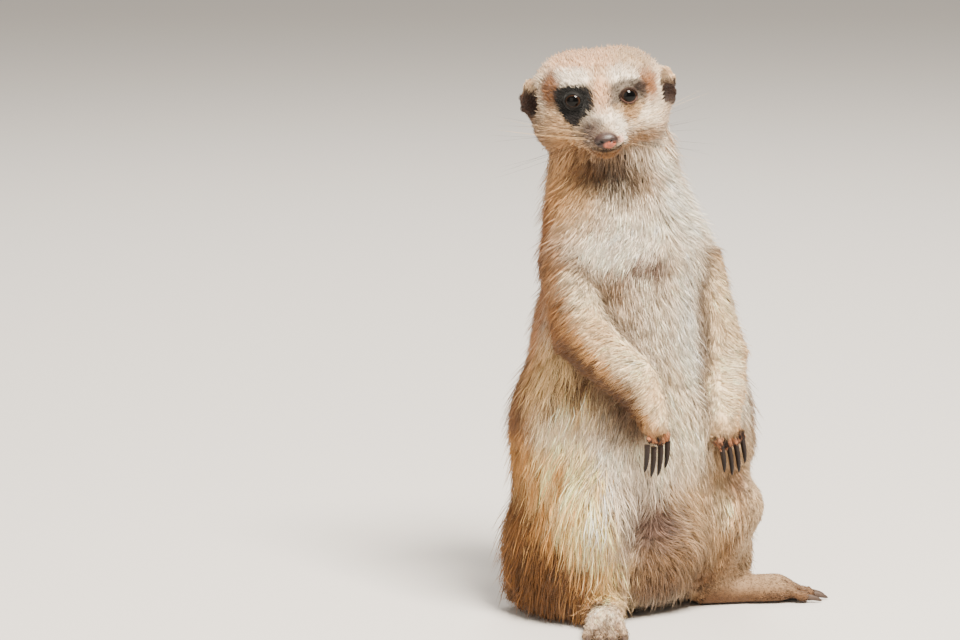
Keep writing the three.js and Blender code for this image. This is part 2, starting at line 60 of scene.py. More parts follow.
# ---------------------------------------------------------------- the coat, part by part, in millimetres
# depth: from the skin up to the outline. length and width: of one hair blade. spacing: between tufts.
# hairs: blades to a tuft. clump: how far a tuft's tips draw together. contrast: how much tufts differ.
# dark: the share of tufts that are dark guard hair.
COAT_KEYS = ("depth", "length", "width", "spacing", "hairs", "clump", "contrast", "dark")
COAT_ROWS = {
    "head": (1.4, 4.2, 0.25, 1.5, 6, 0.2, 0.07, 0.03),
    "jaw": (1.0, 3.2, 0.24, 1.3, 6, 0.2, 0.06, 0.0),
    "ear": (0.4, 4.0, 0.24, 1.1, 6, 0.2, 0.12, 0.0),
    "neck": (4.2, 12.0, 0.33, 2.3, 12, 0.4, 0.1, 0.04),
    "chest": (3.6, 12.0, 0.34, 2.25, 12, 0.4, 0.1, 0.04),
    "belly": (4.0, 12.5, 0.35, 2.45, 12, 0.5, 0.12, 0.05),
    "rump": (4.0, 14.0, 0.36, 2.6, 10, 0.5, 0.14, 0.1),
    "arm": (2.6, 9.0, 0.31, 1.95, 10, 0.4, 0.12, 0.14),
    "forearm": (1.9, 6.5, 0.29, 1.75, 10, 0.35, 0.12, 0.05),
    "hand": (0.5, 3.0, 0.25, 1.15, 6, 0.3, 0.16, 0.1),
    "thigh": (5.5, 19.0, 0.38, 2.75, 11, 0.7, 0.22, 0.08),
    "shin": (2.2, 6.0, 0.3, 1.9, 10, 0.3, 0.12, 0.06),
    "foot": (0.8, 4.2, 0.26, 1.35, 7, 0.3, 0.2, 0.1),
    "tail": (1.8, 9.0, 0.34, 2.3, 9, 0.35, 0.12, 0.08),
    "tail_tip": (1.4, 9.5, 0.34, 2.0, 10, 0.4, 0.15, 0.0),
}
COATS = {part: dict(zip(COAT_KEYS, row)) for part, row in COAT_ROWS.items()}
PART_OF = {
    "thorax": "chest",
    "abdomen": "belly",
    "upper_arm": "arm",
    "shin_right": "thigh",
    "tail_root": "tail",
    "tail_middle": "tail",
    "tail_end": "tail",
}
PARTS = list(COATS)
SIDES = {"right": -1.0, "left": 1.0}


def part_of(node):
    """The coat part that a CAD node belongs to, or None for eyes, nose and claws."""
    stem = PART_OF.get(node, node.replace("_right", "").replace("_left", ""))
    stem = PART_OF.get(stem, stem)
    return stem if stem in COATS else None


FLESH = [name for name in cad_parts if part_of(name)]


# ---------------------------------------------------------------- small helpers on arrays of points
def unit(v):
    """v at unit length."""
    return v / np.maximum(np.linalg.norm(v, axis=-1, keepdims=True), 1e-9)


def smooth_step(low, high, x):
    """0 up to low, 1 from high on, and a smooth rise between them. Where low is the greater, it falls."""
    t = np.clip((x - low) / (high - low), 0, 1)
    return t * t * (3 - 2 * t)


def mix(a, b, share):
    """a where share is 0 and b where it is 1, for arrays whose last axis is a place or a colour."""
    share = np.asarray(share)[..., None]
    return a * (1 - share) + b * share


def between(low, high, share):
    """The same for plain numbers."""
    return low + (high - low) * share


def spot(points, centre, radii, soft=0.28):
    """1 at the centre of an ellipsoid spot, falling to 0 past its edge."""
    away = np.linalg.norm((points - np.array(centre)) / np.array(radii), axis=-1)
    return 1 - smooth_step(1 - soft, 1 + soft, away)


def ripple(points, size, seed):
    """A smooth random field between about -1 and 1, whose patches are about size across."""
    rng = np.random.default_rng(seed)
    total = 0
    for _ in range(7):
        wave = unit(rng.normal(size=3)) * 2 * math.pi / (size * rng.uniform(1.2, 2.6))
        total = total + np.sin(points @ wave + rng.uniform(0, 2 * math.pi))
    return total / 3.2


def full_turn(count):
    """Angles evenly round a circle."""
    return np.linspace(0, 2 * math.pi, count, endpoint=False)


def circle(around, aside, over):
    """The ways at these angles round a circle, from aside towards over."""
    return np.cos(around)[:, None] * aside + np.sin(around)[:, None] * over


def tangent_part(v, normals):
    """v with what points along the normals taken out, at unit length."""
    return unit(v - (v * normals).sum(-1, keepdims=True) * normals)


def srgb(red, green, blue):
    """A colour given as it looks on a screen, 0 to 255, as linear light."""
    c = np.array([red, green, blue]) / 255
    return np.where(c <= 0.04045, c / 12.92, ((c + 0.055) / 1.055) ** 2.4)


def centre_of(node):
    """The middle of a CAD node's box, in millimetres."""
    low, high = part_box(node)
    return np.array((low + high) / 2) / MM


# ---------------------------------------------------------------- the face's own frame
EYES = {side: centre_of("eye_" + side) for side in SIDES}
NOSE = centre_of("nose")
EYE_R = float(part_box("eye_left")[1].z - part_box("eye_left")[0].z) / 2 / MM
FACE_ORIGIN = (EYES["right"] + EYES["left"]) / 2
EYE_OUT = np.linalg.norm(EYES["left"] - FACE_ORIGIN)
FACE_X = unit(EYES["left"] - EYES["right"])
FACE_Y = unit(np.cross(UP, FACE_X))
FACE_Z = np.cross(FACE_X, FACE_Y)
FACE_AXES = np.stack([FACE_X, FACE_Y, FACE_Z])


def to_face(points):
    """Points in the face's frame: from between the eyes, +X to the animal's left, -Y ahead, +Z up."""
    return (points - FACE_ORIGIN) @ FACE_AXES.T


def from_face(points):
    """Points given in the face's frame, back in the row frame."""
    return np.asarray(points) @ FACE_AXES + FACE_ORIGIN


def way_from_face(v):
    """A way given in the face's frame, back in the row frame."""
    return np.asarray(v) @ FACE_AXES


def behind_face(points):
    """How far back and down on the head, in millimetres from the middle of the face."""
    p = to_face(points)
    return p[:, 1] - 0.5 * p[:, 2]


# ---------------------------------------------------------------- a triangle surface
class Surface:
    """Vertices in millimetres and triangles, with what follows from them."""

    def __init__(self, points, triangles):
        self.points = points
        self.triangles = triangles
        pairs = np.concatenate([triangles[:, [0, 1]], triangles[:, [1, 2]], triangles[:, [2, 0]]])
        self.edges = np.unique(np.sort(pairs, axis=1), axis=0)
        self.count = np.bincount(self.edges.ravel(), minlength=len(points)).astype(float)

    def face_normals(self):
        a, b, c = (self.points[self.triangles[:, i]] for i in range(3))
        return np.cross(b - a, c - a)

    def normals(self):
        faces = self.face_normals()
        out = np.zeros_like(self.points)
        for axis in range(3):
            for corner in range(3):
                out[:, axis] += np.bincount(
                    self.triangles[:, corner], faces[:, axis], minlength=len(self.points)
                )
        return unit(out)

    def tree(self):
        """The triangles, ready to be searched for the nearest one."""
        return BVHTree.FromPolygons(self.points.tolist(), self.triangles.tolist())

    def neighbours_mean(self, values):
        """Each vertex's value as the mean of its neighbours' values."""
        values = values.reshape(len(values), -1)
        a, b = self.edges.T
        out = np.zeros_like(values, dtype=float)
        for column in range(values.shape[1]):
            out[:, column] = np.bincount(a, values[b, column], minlength=len(values))
            out[:, column] += np.bincount(b, values[a, column], minlength=len(values))
        return out / np.maximum(self.count, 1)[:, None]

    def spread(self, values, rounds):
        """Values smoothed over the surface."""
        shape = values.shape
        values = values.reshape(len(values), -1).astype(float)
        for _ in range(rounds):
            values = 0.4 * values + 0.6 * self.neighbours_mean(values)
        return values.reshape(shape)

    def smooth(self, rounds, share=1.0):
        """Evens the shape out, and swells it back after each round, so that it doesn't shrink."""
        share = np.broadcast_to(share, len(self.points))[:, None]
        for _ in range(rounds):
            for step in (0.6, -0.61):
                move = self.neighbours_mean(self.points) - self.points
                self.points = self.points + step * share * move


def mesh_arrays(mesh):
    """A Blender mesh's vertices in millimetres, and its triangles."""
    points = np.zeros(len(mesh.vertices) * 3)
    mesh.vertices.foreach_get("co", points)
    mesh.calc_loop_triangles()
    triangles = np.zeros(len(mesh.loop_triangles) * 3, int)
    mesh.loop_triangles.foreach_get("vertices", triangles)
    return points.reshape(-1, 3) / MM, triangles.reshape(-1, 3)


def cad_surface(node):
    """A CAD node's surface, with corners that lie on each other made one."""
    points, triangles = mesh_arrays(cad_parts[node].data)
    _, first, same = np.unique(np.round(points, 3), axis=0, return_index=True, return_inverse=True)
    return Surface(points[first], same.ravel()[triangles])


def turned_out(surface, centre):
    """The closed surface, with its triangles flipped if they face the centre."""
    away = surface.points[surface.triangles[:, 0]] - centre
    if (surface.face_normals() * away).sum() < 0:
        return Surface(surface.points, surface.triangles[:, ::-1])
    return surface


def joined(surfaces):
    """Points and triangles of several surfaces as one."""
    shifts = np.cumsum([0] + [len(s.points) for s in surfaces[:-1]])
    points = np.concatenate([s.points for s in surfaces])
    triangles = np.concatenate([s.triangles + shift for s, shift in zip(surfaces, shifts)])
    return Surface(points, triangles)


def new_object(name, mesh):
    thing = bpy.data.objects.new(name, mesh)
    bpy.context.scene.collection.objects.link(thing)
    return thing


def mesh_of(name, points, triangles):
    """A smooth-shaded Blender mesh from points in millimetres."""
    mesh = bpy.data.meshes.new(name)
    mesh.vertices.add(len(points))
    mesh.vertices.foreach_set("co", (points * MM).astype(np.float32).ravel())
    mesh.loops.add(triangles.size)
    mesh.loops.foreach_set("vertex_index", triangles.astype(np.int32).ravel())
    mesh.polygons.add(len(triangles))
    mesh.polygons.foreach_set("loop_start", np.arange(0, triangles.size, 3, dtype=np.int32))
    mesh.polygons.foreach_set("use_smooth", np.ones(len(triangles), bool))
    mesh.update(calc_edges=True)
    mesh.validate()
    return mesh


def give_colours(mesh, name, rgb):
    """A colour for each vertex."""
    rgba = np.ones((len(rgb), 4), np.float32)
    rgba[:, :3] = rgb
    layer = mesh.attributes.new(name, "FLOAT_COLOR", "POINT")
    layer.data.foreach_set("color", rgba.ravel())


def give_values(mesh, name, values):
    """A number for each vertex."""
    layer = mesh.attributes.new(name, "FLOAT", "POINT")
    layer.data.foreach_set("value", np.asarray(values, np.float32))


# ---------------------------------------------------------------- the skin's shape
SWELL = 0.55  # how far each solid grows, so that it runs into its neighbours across their gap
VOXEL = 1.6


def largest_piece(surface):
    """The biggest connected piece, without bubbles left inside."""
    label = np.arange(len(surface.points))
    a, b = surface.edges.T
    while True:
        low = np.minimum(label[a], label[b])
        new = label.copy()
        np.minimum.at(new, a, low)
        np.minimum.at(new, b, low)
        new = new[new]
        if (new == label).all():
            break
        label = new
    keep = label == np.bincount(label).argmax()
    place = np.cumsum(keep) - 1
    triangles = surface.triangles[keep[surface.triangles[:, 0]]]
    return Surface(surface.points[keep], place[triangles])


def fused_flesh():
    """All the flesh run together into one closed surface, eyes and nose filled in."""
    solids = []
    for node in FLESH + ["eye_right", "eye_left", "nose"]:
        solid = cad_surface(node)
        solid.points = solid.points + solid.normals() * SWELL
        solids.append(solid)
    rough = joined(solids)
    thing = new_object("flesh", mesh_of("flesh", rough.points, rough.triangles))
    remesh = thing.modifiers.new("voxels", "REMESH")
    remesh.mode = "VOXEL"
    remesh.voxel_size = VOXEL * MM
    shape = thing.evaluated_get(bpy.context.evaluated_depsgraph_get()).to_mesh()
    fused = Surface(*mesh_arrays(shape))
    bpy.data.objects.remove(thing)
    return largest_piece(fused)


def refined(surface, near):
    """The surface with the edges of the chosen vertices cut in half."""
    work = bmesh.new()
    mesh = mesh_of("work", surface.points, surface.triangles)
    work.from_mesh(mesh)
    work.verts.ensure_lookup_table()
    edges = [e for e in work.edges if near[e.verts[0].index] and near[e.verts[1].index]]
    bmesh.ops.subdivide_edges(work, edges=edges, cuts=1, use_grid_fill=True)
    bmesh.ops.triangulate(work, faces=work.faces[:])
    work.to_mesh(mesh)
    work.free()
    finer = Surface(*mesh_arrays(mesh))
    bpy.data.meshes.remove(mesh)
    return finer


# The box that holds the face, in the face's frame.
FACE_LOW = (-30, -32, -27)
FACE_HIGH = (30, 12, 24)


def is_face(points):
    """Where the face is, as against the back of the head and the neck."""
    p = to_face(points)
    return ((p > FACE_LOW) & (p < FACE_HIGH)).all(axis=1)


def is_fine_face(points):
    """Round the eyes, the nose and the mouth."""
    close = np.zeros(len(points), bool)
    for eye in EYES.values():
        close |= np.linalg.norm(points - eye, axis=1) < EYE_R + 4.5
    p = to_face(points)
    close |= np.linalg.norm((p - to_face(NOSE)) / [11, 10, 8], axis=1) < 1
    return close | ((np.abs(p[:, 0]) < 16) & (p[:, 1] < -4) & (np.abs(p[:, 2] + 21.5) < 3.5))


def part_weights(surface):
    """How much each vertex belongs to each coat part, from the CAD node that is nearest to it."""
    solids = [cad_surface(node) for node in FLESH]
    whole = joined(solids)
    owner = np.repeat([PARTS.index(part_of(n)) for n in FLESH], [len(s.triangles) for s in solids])
    tree = whole.tree()
    faces = [tree.find_nearest(p)[2] for p in surface.points.tolist()]
    weights = np.zeros((len(surface.points), len(PARTS)))
    weights[np.arange(len(faces)), owner[faces]] = 1
    return weights


def belonging(weights, *parts):
    """How much each vertex belongs to these coat parts, together."""
    return weights[:, [PARTS.index(part) for part in parts]].sum(1)


def coat_value(weights, key):
    """One of the coat's numbers at each vertex, from the parts that it belongs to."""
    return weights @ np.array([COATS[p][key] for p in PARTS], float)


LEFT_HEEL = (42, -16, 12)  # the hair is short here, where the foot leaves the haunch


def left_knee(points):
    """1 over the front and outer side of the left leg, where the hair is short."""
    left = smooth_step(14, 30, points[:, 0])
    return left * smooth_step(24, 2, points[:, 1]) * smooth_step(84, 70, points[:, 2])


def shag(points):
    """1 where the coat is shaggiest: over the right flank's fold, and less so down the right haunch."""
    right = smooth_step(-22, -38, points[:, 0])
    fold = np.exp(-(((points[:, 2] - 112) / 13) ** 2))
    haunch = smooth_step(96, 76, points[:, 2])
    return right * np.maximum(fold, 0.6 * haunch)


def arm_crease(weights):
    """1 along the line where an arm lies against the trunk, falling to 0 on each side of it."""
    return 4 * belonging(weights, "arm", "forearm") * belonging(weights, "chest", "belly")


def coat_share(points):
    """How deep the coat is, against its part's usual depth."""
    return 1 - 0.5 * left_knee(points)


# ---------------------------------------------------------------- the lids and the mouth
LID_THICK = 0.55
OPENING_HALF = (3.75, 3.25)  # half the width and half the height of the opening between the lids
GAZE = (0.26, -1.0, 0.06)  # the left eye's, in the face's frame. The right eye's is its mirror image.
# Angles past the opening: how far out the skin is cut away, and how far out it is drawn down.
LID_CUT = 0.06
LID_PULL = 0.75
# The lids' edge in section: the angle past the opening, and the height over the eyeball.
LID_RING = (
    (-0.02, 0.03),
    (-0.03, 0.18),
    (0.01, 0.34),
    (0.08, 0.46),
    (0.18, 0.50),
    (0.30, 0.40),
    (0.44, 0.12),
)
LID_AROUND = 64
MOUTH_Z = -22.2
MOUTH_CURVE = 0.03
MOUTH_HALF = 9.0
MOUTH_DEPTH = 0.7
NOSE_HALF = np.array([5.6, 3.6, 3.9])


def eye_axes(side):
    """The way an eye looks, the way to its outer corner, and the way up across it."""
    sign = SIDES[side]
    gaze = unit(way_from_face((sign * GAZE[0], GAZE[1], GAZE[2])))
    outward = unit(tangent_part(sign * FACE_X, gaze))
    return gaze, outward, np.cross(gaze, outward) * sign * -1


def eye_angles(side, points):
    """For points near an eye: how far from its centre, how far off its gaze, and the opening's angle."""
    gaze, outward, upward = eye_axes(side)
    away = points - EYES[side]
    distance = np.linalg.norm(away, axis=1)
    way = unit(away)
    angle = np.arccos(np.clip(way @ gaze, -1, 1))
    return distance, angle, opening_angle(np.arctan2(way @ upward, way @ outward))


def opening_angle(around):
    """How far off the gaze the lids stand open, by the angle round it: an ellipse with drawn-out corners."""
    wide, high = (half / EYE_R for half in OPENING_HALF)
    edge = 1 / np.sqrt((np.cos(around) / wide) ** 2 + (np.sin(around) / high) ** 2)
    return edge * (1 + 0.14 * np.abs(np.cos(around)) ** 8)


def sink_round_eyes(surface):
    """Draws the skin down to a thin lid over each eyeball."""
    for side in SIDES:
        distance, angle, edge = eye_angles(side, surface.points)
        share = (1 - smooth_step(0.12, LID_PULL, angle - edge)) * (distance < EYE_R * 2.2)
        goal = EYE_R + LID_THICK
        way = unit(surface.points - EYES[side])
        moved = EYES[side] + way * mix(distance[:, None], goal, share)
        surface.points = np.where(share[:, None] > 0, moved, surface.points)


def cut_openings(surface):
    """The skin without the faces that lie over the eyes' openings."""
    hidden = np.zeros(len(surface.points), bool)
    for side in SIDES:
        distance, angle, edge = eye_angles(side, surface.points)
        hidden |= (angle < edge + LID_CUT) & (distance < EYE_R * 1.6)
    triangles = surface.triangles[~hidden[surface.triangles].all(axis=1)]
    used = np.unique(triangles)
    place = np.zeros(len(surface.points), int)
    place[used] = np.arange(len(used))
    return Surface(surface.points[used], place[triangles]), used


def strip(rings, closed=True):
    """Triangles between rings of points, each ring a loop."""
    count = len(rings[0])
    i = np.arange(count)
    j = (i + 1) % count
    if not closed:
        i, j = i[:-1], j[:-1]
    parts = []
    for k in range(len(rings) - 1):
        a, b = k * count, (k + 1) * count
        parts.append(np.stack([a + i, a + j, b + j], 1))
        parts.append(np.stack([a + i, b + j, b + i], 1))
    return np.concatenate(parts)


def lid_ring(side):
    """The lids' rounded edge, from the eyeball out to under the skin round it."""
    gaze, outward, upward = eye_axes(side)
    around = full_turn(LID_AROUND)
    across = circle(around, outward, upward)
    rings = []
    for wider, above in LID_RING:
        angle = (opening_angle(around) + wider)[:, None]
        way = np.cos(angle) * gaze + np.sin(angle) * across
        rings.append(EYES[side] + way * (EYE_R + above))
    triangles = strip(rings)
    ring = Surface(np.concatenate(rings), triangles)
    if (ring.face_normals() @ gaze).sum() < 0:
        ring = Surface(ring.points, triangles[:, ::-1])
    return ring


def mouth_distance(points):
    """How far points lie above or below the line between the lips, and 1 where the line is."""
    p = to_face(points)
    line = MOUTH_Z + MOUTH_CURVE * p[:, 0] ** 2
    here = (1 - smooth_step(MOUTH_HALF - 2, MOUTH_HALF, np.abs(p[:, 0]))) * (p[:, 1] < -3)
    return p[:, 2] - line, here


def press_mouth(surface):
    """The line between the lips, pressed into the skin."""
    above, here = mouth_distance(surface.points)
    groove = np.exp(-((above / 0.5) ** 2)) * here * MOUTH_DEPTH
    lips = np.exp(-(((above + 1.3) / 0.8) ** 2)) * here * 0.35
    surface.points = surface.points + surface.normals() * (lips - groove)[:, None]


# ---------------------------------------------------------------- folds, fingers and toes
CREASE_ROUNDS = 280
ARM_CREASE = 2.2  # how much deeper the skin lies where an arm meets the trunk
CARVE_DEEPEST = 1.3
CARVE_HIGHEST = 0.7
KNEE_TOP = (-38, -36, 74)
KNEE_REACH = (26, 26, 30)
KNEE_ROUNDS = 170


def fill_creases(surface, share):
    """Raises the surface where it dips below its neighbours, so that folds close over softly."""
    for _ in range(CREASE_ROUNDS):
        normals = surface.normals()
        rise = ((surface.neighbours_mean(surface.points) - surface.points) * normals).sum(1)
        surface.points = surface.points + normals * (np.maximum(rise, 0) * share)[:, None]


def ease_knee(surface):
    """Runs the right knee, which lies under long locks, into the belly and flank in one even slope."""
    eased = surface.spread(surface.points, KNEE_ROUNDS)
    share = 0.85 * spot(surface.points, KNEE_TOP, KNEE_REACH, SOFT)
    surface.points = mix(surface.points, eased, share)


def digits():
    """Every finger and toe: its knuckle, its end, the radius at each, and the share where it comes free."""
    found = []
    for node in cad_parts:
        if "claw" in node:
            start, bend, *_ = claw_line(node)
            fore = node.startswith("fore")
            reach = 7.5 if fore else 12.0
            thick = (1.75, 1.3) if fore else (2.7, 2.0)
            behind = unit(start - bend) if fore else unit((start - bend) * [1, 1, 0]) + 0.16 * UP
            found.append((start + behind * reach, start, *thick, 0.0 if fore else 0.4))
    return found


def near_digits(points, digit_list, reach):
    """Whether each point is within reach of the balls that just hold the fingers and toes."""
    near = np.zeros(len(points), bool)
    for knuckle, end, *_ in digit_list:
        ball = np.linalg.norm(end - knuckle) / 2
        near |= np.linalg.norm(points - (knuckle + end) / 2, axis=1) - ball < reach
    return near


def carve_digits(surface, digit_list):
    """Draws the skin of each hand and foot onto its separate fingers and toes."""
    for _ in range(2):
        points = surface.points
        nearest = np.full(len(points), 99.0)
        share = np.zeros(len(points))
        for knuckle, end, thick, thin, free in digit_list:
            axis = end - knuckle
            t = (points - knuckle) @ axis / (axis @ axis)
            held = np.clip(t, 0, 1)
            from_axis = np.linalg.norm(points - knuckle - held[:, None] * axis, axis=1)
            gap = from_axis - between(thick, thin, held)
            closer = gap < nearest
            nearest = np.where(closer, gap, nearest)
            share = np.where(closer, smooth_step(free, free + 0.45, t) * smooth_step(3.2, 2.0, gap), share)
        move = -np.clip(nearest, -CARVE_HIGHEST, CARVE_DEEPEST) * share
        surface.points = points + surface.normals() * (surface.spread(move, 1))[:, None]


# ---------------------------------------------------------------- the way the hair lies
WHORL = np.array([-7.0, -34.0, 41.0])  # low on the belly, where the hair parts
WHORL_REACH = 40.0


def limb_ends(side):
    """The ways of the forearm, hand and foot on one side, from the CAD nodes' places."""
    forearm, hand = centre_of("forearm_" + side), centre_of("hand_" + side)
    claws = np.mean([centre_of(f"foreclaw_{side}_{i}") for i in range(1, 5)], axis=0)
    toes = np.mean([centre_of(f"hindclaw_{side}_{i}") for i in range(1, 5)], axis=0)
    foot = centre_of("foot_" + side)
    return unit(hand - forearm), unit(claws - hand), unit((toes - foot) * [1, 1, 0.2])


def tail_way(points):
    """Along the tail, from node to node."""
    centres = [centre_of(n) for n in ("tail_root", "tail_middle", "tail_end", "tail_tip")]
    ways = np.array([unit(centres[min(i + 1, 3)] - centres[max(i - 1, 0)]) for i in range(4)])
    reach = np.array([np.linalg.norm(points - c, axis=1) for c in centres])
    share = np.exp(-((reach / 18) ** 2)) + 1e-9
    return unit((share[:, :, None] * ways[:, None, :]).sum(0))


def belly_way(points):
    """Down, but out from the whorl low on the belly."""
    from_whorl = unit(points - WHORL)
    from_whorl[:, 2] = np.minimum(from_whorl[:, 2], 0) - 0.2
    away = np.linalg.norm(points - WHORL, axis=1)
    whorl = 1 - smooth_step(WHORL_REACH * 0.25, WHORL_REACH, away)[:, None]
    return DOWN * (1 - whorl) + from_whorl * whorl * 1.6


def lie_of_the_hair(surface, weights):
    """The way the hair lies at each vertex: back from the nose, down the body, and out along the limbs."""
    p = surface.points
    sign = np.where(p[:, :1] < 8, -1.0, 1.0)
    lateral = np.concatenate([sign * 0.87, np.full_like(sign, 0.5), np.zeros_like(sign)], axis=1)
    ends = [np.where(sign < 0, r, l) for r, l in zip(limb_ends("right"), limb_ends("left"))]
    shoulder = np.exp(-(((p[:, 2:] - 182) / 18) ** 2))
    down = belly_way(p)
    from_nose = unit(p - NOSE)
    ways = {
        "head": from_nose,
        "jaw": from_nose + 0.3 * DOWN,
        "ear": 0.3 * sign * FACE_X + 0.8 * FACE_Y + 0.5 * DOWN,
        "neck": DOWN + 0.25 * lateral,
        "chest": DOWN + 0.9 * shoulder * sign * [1, 0, 0],
        "belly": down,
        "rump": down,
        "arm": DOWN + 0.7 * lateral,
        "forearm": lateral + 0.3 * DOWN + 0.25 * ends[0],
        "hand": ends[1],
        "thigh": DOWN + 0.12 * lateral,
        "shin": DOWN + 0.1 * lateral,
        "foot": ends[2],
        "tail": tail_way(p),
        "tail_tip": tail_way(p),
    }
    way = sum(weights[:, [i]] * unit(ways[part]) for i, part in enumerate(PARTS))
    normals = surface.normals()
    way = surface.spread(tangent_part(way, normals), 10)
    way = tangent_part(way, normals)
    sway = (0.12 + 0.22 * belonging(weights, "thigh")) * ripple(p, 16, SEED)
    across = np.cross(normals, way)
    return way * np.cos(sway)[:, None] + across * np.sin(sway)[:, None]


# ---------------------------------------------------------------- colours and markings
WHITE = srgb(252, 243, 230)
CREAM = srgb(247, 230, 200)
STRAW = srgb(254, 224, 170)
GREY_CREAM = srgb(240, 227, 208)
GREIGE = srgb(214, 195, 168)
SAND = srgb(214, 176, 128)
GOLD = srgb(196, 146, 86)
RUFOUS = srgb(164, 110, 68)
TAN = srgb(160, 124, 86)
BROWN = srgb(94, 60, 32)
DARK = srgb(48, 30, 20)
SOOT = srgb(20, 12, 9)
GREY = srgb(76, 64, 58)
MAUVE = srgb(124, 98, 86)
PINK_TAN = srgb(224, 180, 142)
PINK = srgb(212, 122, 98)
LID_PINK = srgb(112, 82, 72)
EAR_BROWN = srgb(56, 36, 26)
FINGER = srgb(178, 124, 90)

# How wide a soft spot's border is, as a share of its radius each way.
SOFT = 0.6
# Every colour is raised to this power at the end, which deepens it.
DEEPER = 1.12
# The lowest point of the patch round an eye, in the face's frame.
PATCH_TIP = -12.6


def paint_spots(points, colour, spots):
    """Soft spots laid over one another, each given as its paint, its strength, its centre and its radii."""
    for paint, strength, centre, radii in spots:
        colour = mix(colour, paint, strength * spot(points, centre, radii, SOFT))
    return colour


def teardrop(points, side):
    """The dark patch round an eye: square-shouldered on top, drawn down to a point below and outside."""
    p = to_face(points)
    out = p[:, 0] * SIDES[side] - EYE_OUT
    high = p[:, 2]
    square = np.where(out > 0, 3.5, 2.2)
    bowl = ((np.abs(out - 0.3) / 9.0) ** square + (np.abs(high - 1.4) / 6.0) ** square) ** (1 / square)
    half = 0.9 * np.maximum(high - PATCH_TIP, 0)
    drop = np.abs(out - 0.2 - 0.24 * (-3.0 - high)) - np.minimum(half, 8.2)
    drop = np.where((high < 0) & (high > PATCH_TIP - 1), 0.75 * drop, 9)
    inside = np.minimum(6 * (bowl - 1), drop)
    ahead = p[:, 1] < 9
    return (1 - smooth_step(-0.5, 1.1, inside)) * ahead


# In the face's frame: bridge, muzzle, its right and left side, right cheek with painted shade, jaw, chin and
# left temple.
FACE_SPOTS = (
    (mix(PINK_TAN, TAN, 0.15), 0.9, (0, -5, 2), (5, 9, 11)),
    (GREY, 0.6, (-4, -17, -11), (4, 7, 4)),
    (mix(MAUVE, GREY, 0.6), 0.95, (-9, -15, -14), (9.5, 11, 7.5)),
    (TAN, 0.5, (3, -17, -12), (4, 8, 3)),
    (WHITE, 0.7, (11, -13, -14), (9, 9, 6)),
    # The right cheek: golden tan, deepened by painted shade.
    (mix(SAND, TAN, 0.6), 0.85, (-22, 2, -12), (10, 16, 9)),
    (GOLD, 0.8, (-18, 2, -24), (15, 18, 8)),
    (TAN, 0.95, (17, 1, -24), (14, 17, 9)),
    (mix(GOLD, BROWN, 0.6), 1.0, (0, -16, -27), (14, 14, 7)),
    (mix(GREIGE, TAN, 0.5), 0.9, (19, 10, 18), (12, 16, 9)),
)


def brow_colour(p, colour):
    """Pink-tan on the crown, pale brows, and a rufous patch between each eye and ear."""
    crown = smooth_step(9, 16, p[:, 2]) * smooth_step(32, 18, np.abs(p[:, 0]))
    colour = mix(colour, PINK_TAN, 0.8 * crown)
    colour = mix(colour, TAN, 0.35 * spot(p, (0, -2, 13), (2.5, 14, 9)))
    for sign in SIDES.values():
        brow = spot(p, (sign * 14.5, 0, 11.0), (10, 14, 4.5))
        colour = mix(colour, mix(WHITE, GREY_CREAM, 0.5), 0.9 * brow)
        temple = spot(p, (sign * 23.7, 4, 6.5), (5.2, 9, 10.5), 0.45)
        colour = mix(colour, mix(RUFOUS, BROWN, 0.3 - 0.15 * sign), 0.95 * temple)
    return mix(colour, WHITE, 0.3 * spot(p, (0, -9, -2), (5.5, 12, 9)))


def eye_patch_colour(points, colour):
    """Near black round the right eye. Worn to grey round the left, with a dark corner and a tan tear."""
    p = to_face(points)
    middle = spot(p, (-EYE_OUT - 0.5, 0, 0), (8, 14, 7), SOFT)
    colour = mix(colour, mix(0.5 * DARK + 0 * points, 0.6 * SOOT, middle), teardrop(points, "right"))
    faded = mix(GREY + 0 * points, SAND, 0.8 * smooth_step(-1, -6, p[:, 2]))
    colour = mix(colour, faded, 0.85 * teardrop(points, "left"))
    colour = mix(colour, DARK, 0.9 * spot(p, (EYE_OUT + 6.2, -2, 3.6), (3.4, 6, 2.4), 0.5))
    return mix(colour, TAN, 0.7 * spot(p, (12.5, -4, -7.5), (3.2, 6, 4.5), SOFT))


def face_colour(points, colour):
    """The face's markings over a plain colour, with a sore pink spot beside the nose."""
    p = to_face(points)
    colour = paint_spots(p, brow_colour(p, colour), FACE_SPOTS)
    colour = eye_patch_colour(points, colour)
    sore = spot(p, (7.0, -22, -17.0), (2.2, 4, 2.4)) * (0.7 + 0.3 * ripple(points, 2.5, SEED + 7))
    return mix(colour, PINK, 0.65 * np.clip(sore, 0, 1))


def lid_colour(points, colour):
    """Bare dark skin at the lids' edge, paler on the left."""
    for side, paint in (("right", SOOT), ("left", DARK)):
        distance, angle, edge = eye_angles(side, points)
        near = (distance < EYE_R + 2) * (1 - smooth_step(0.12, 0.3, angle - edge))
        colour = mix(colour, paint, near)
    distance, angle, edge = eye_angles("left", points)
    margin = (distance < EYE_R + 0.8) * (1 - smooth_step(0.04, 0.12, angle - edge))
    lower = smooth_step(0.5, -1.5, (points - EYES["left"]) @ FACE_Z)
    return mix(colour, LID_PINK, 0.7 * margin * lower)


def lip_colour(points, colour):
    """A dark line between the lips, brown below it, and dark bare skin round the nose pad."""
    above, here = mouth_distance(points)
    colour = mix(colour, BROWN, 0.7 * here * np.exp(-(((above + 2.0) / 0.9) ** 2)))
    from_nose = np.linalg.norm((to_face(points) - to_face(NOSE)) / NOSE_HALF, axis=1)
    colour = mix(colour, mix(GREY, MAUVE, 0.4), 0.8 * smooth_step(1.5, 1.15, from_nose))
    return mix(colour, DARK, 0.9 * here * np.exp(-((above / 0.9) ** 2)))


# The shares of a way that points out to the side and 30 degrees back.
ASIDE = math.cos(math.radians(30))
ASTERN = math.sin(math.radians(30))


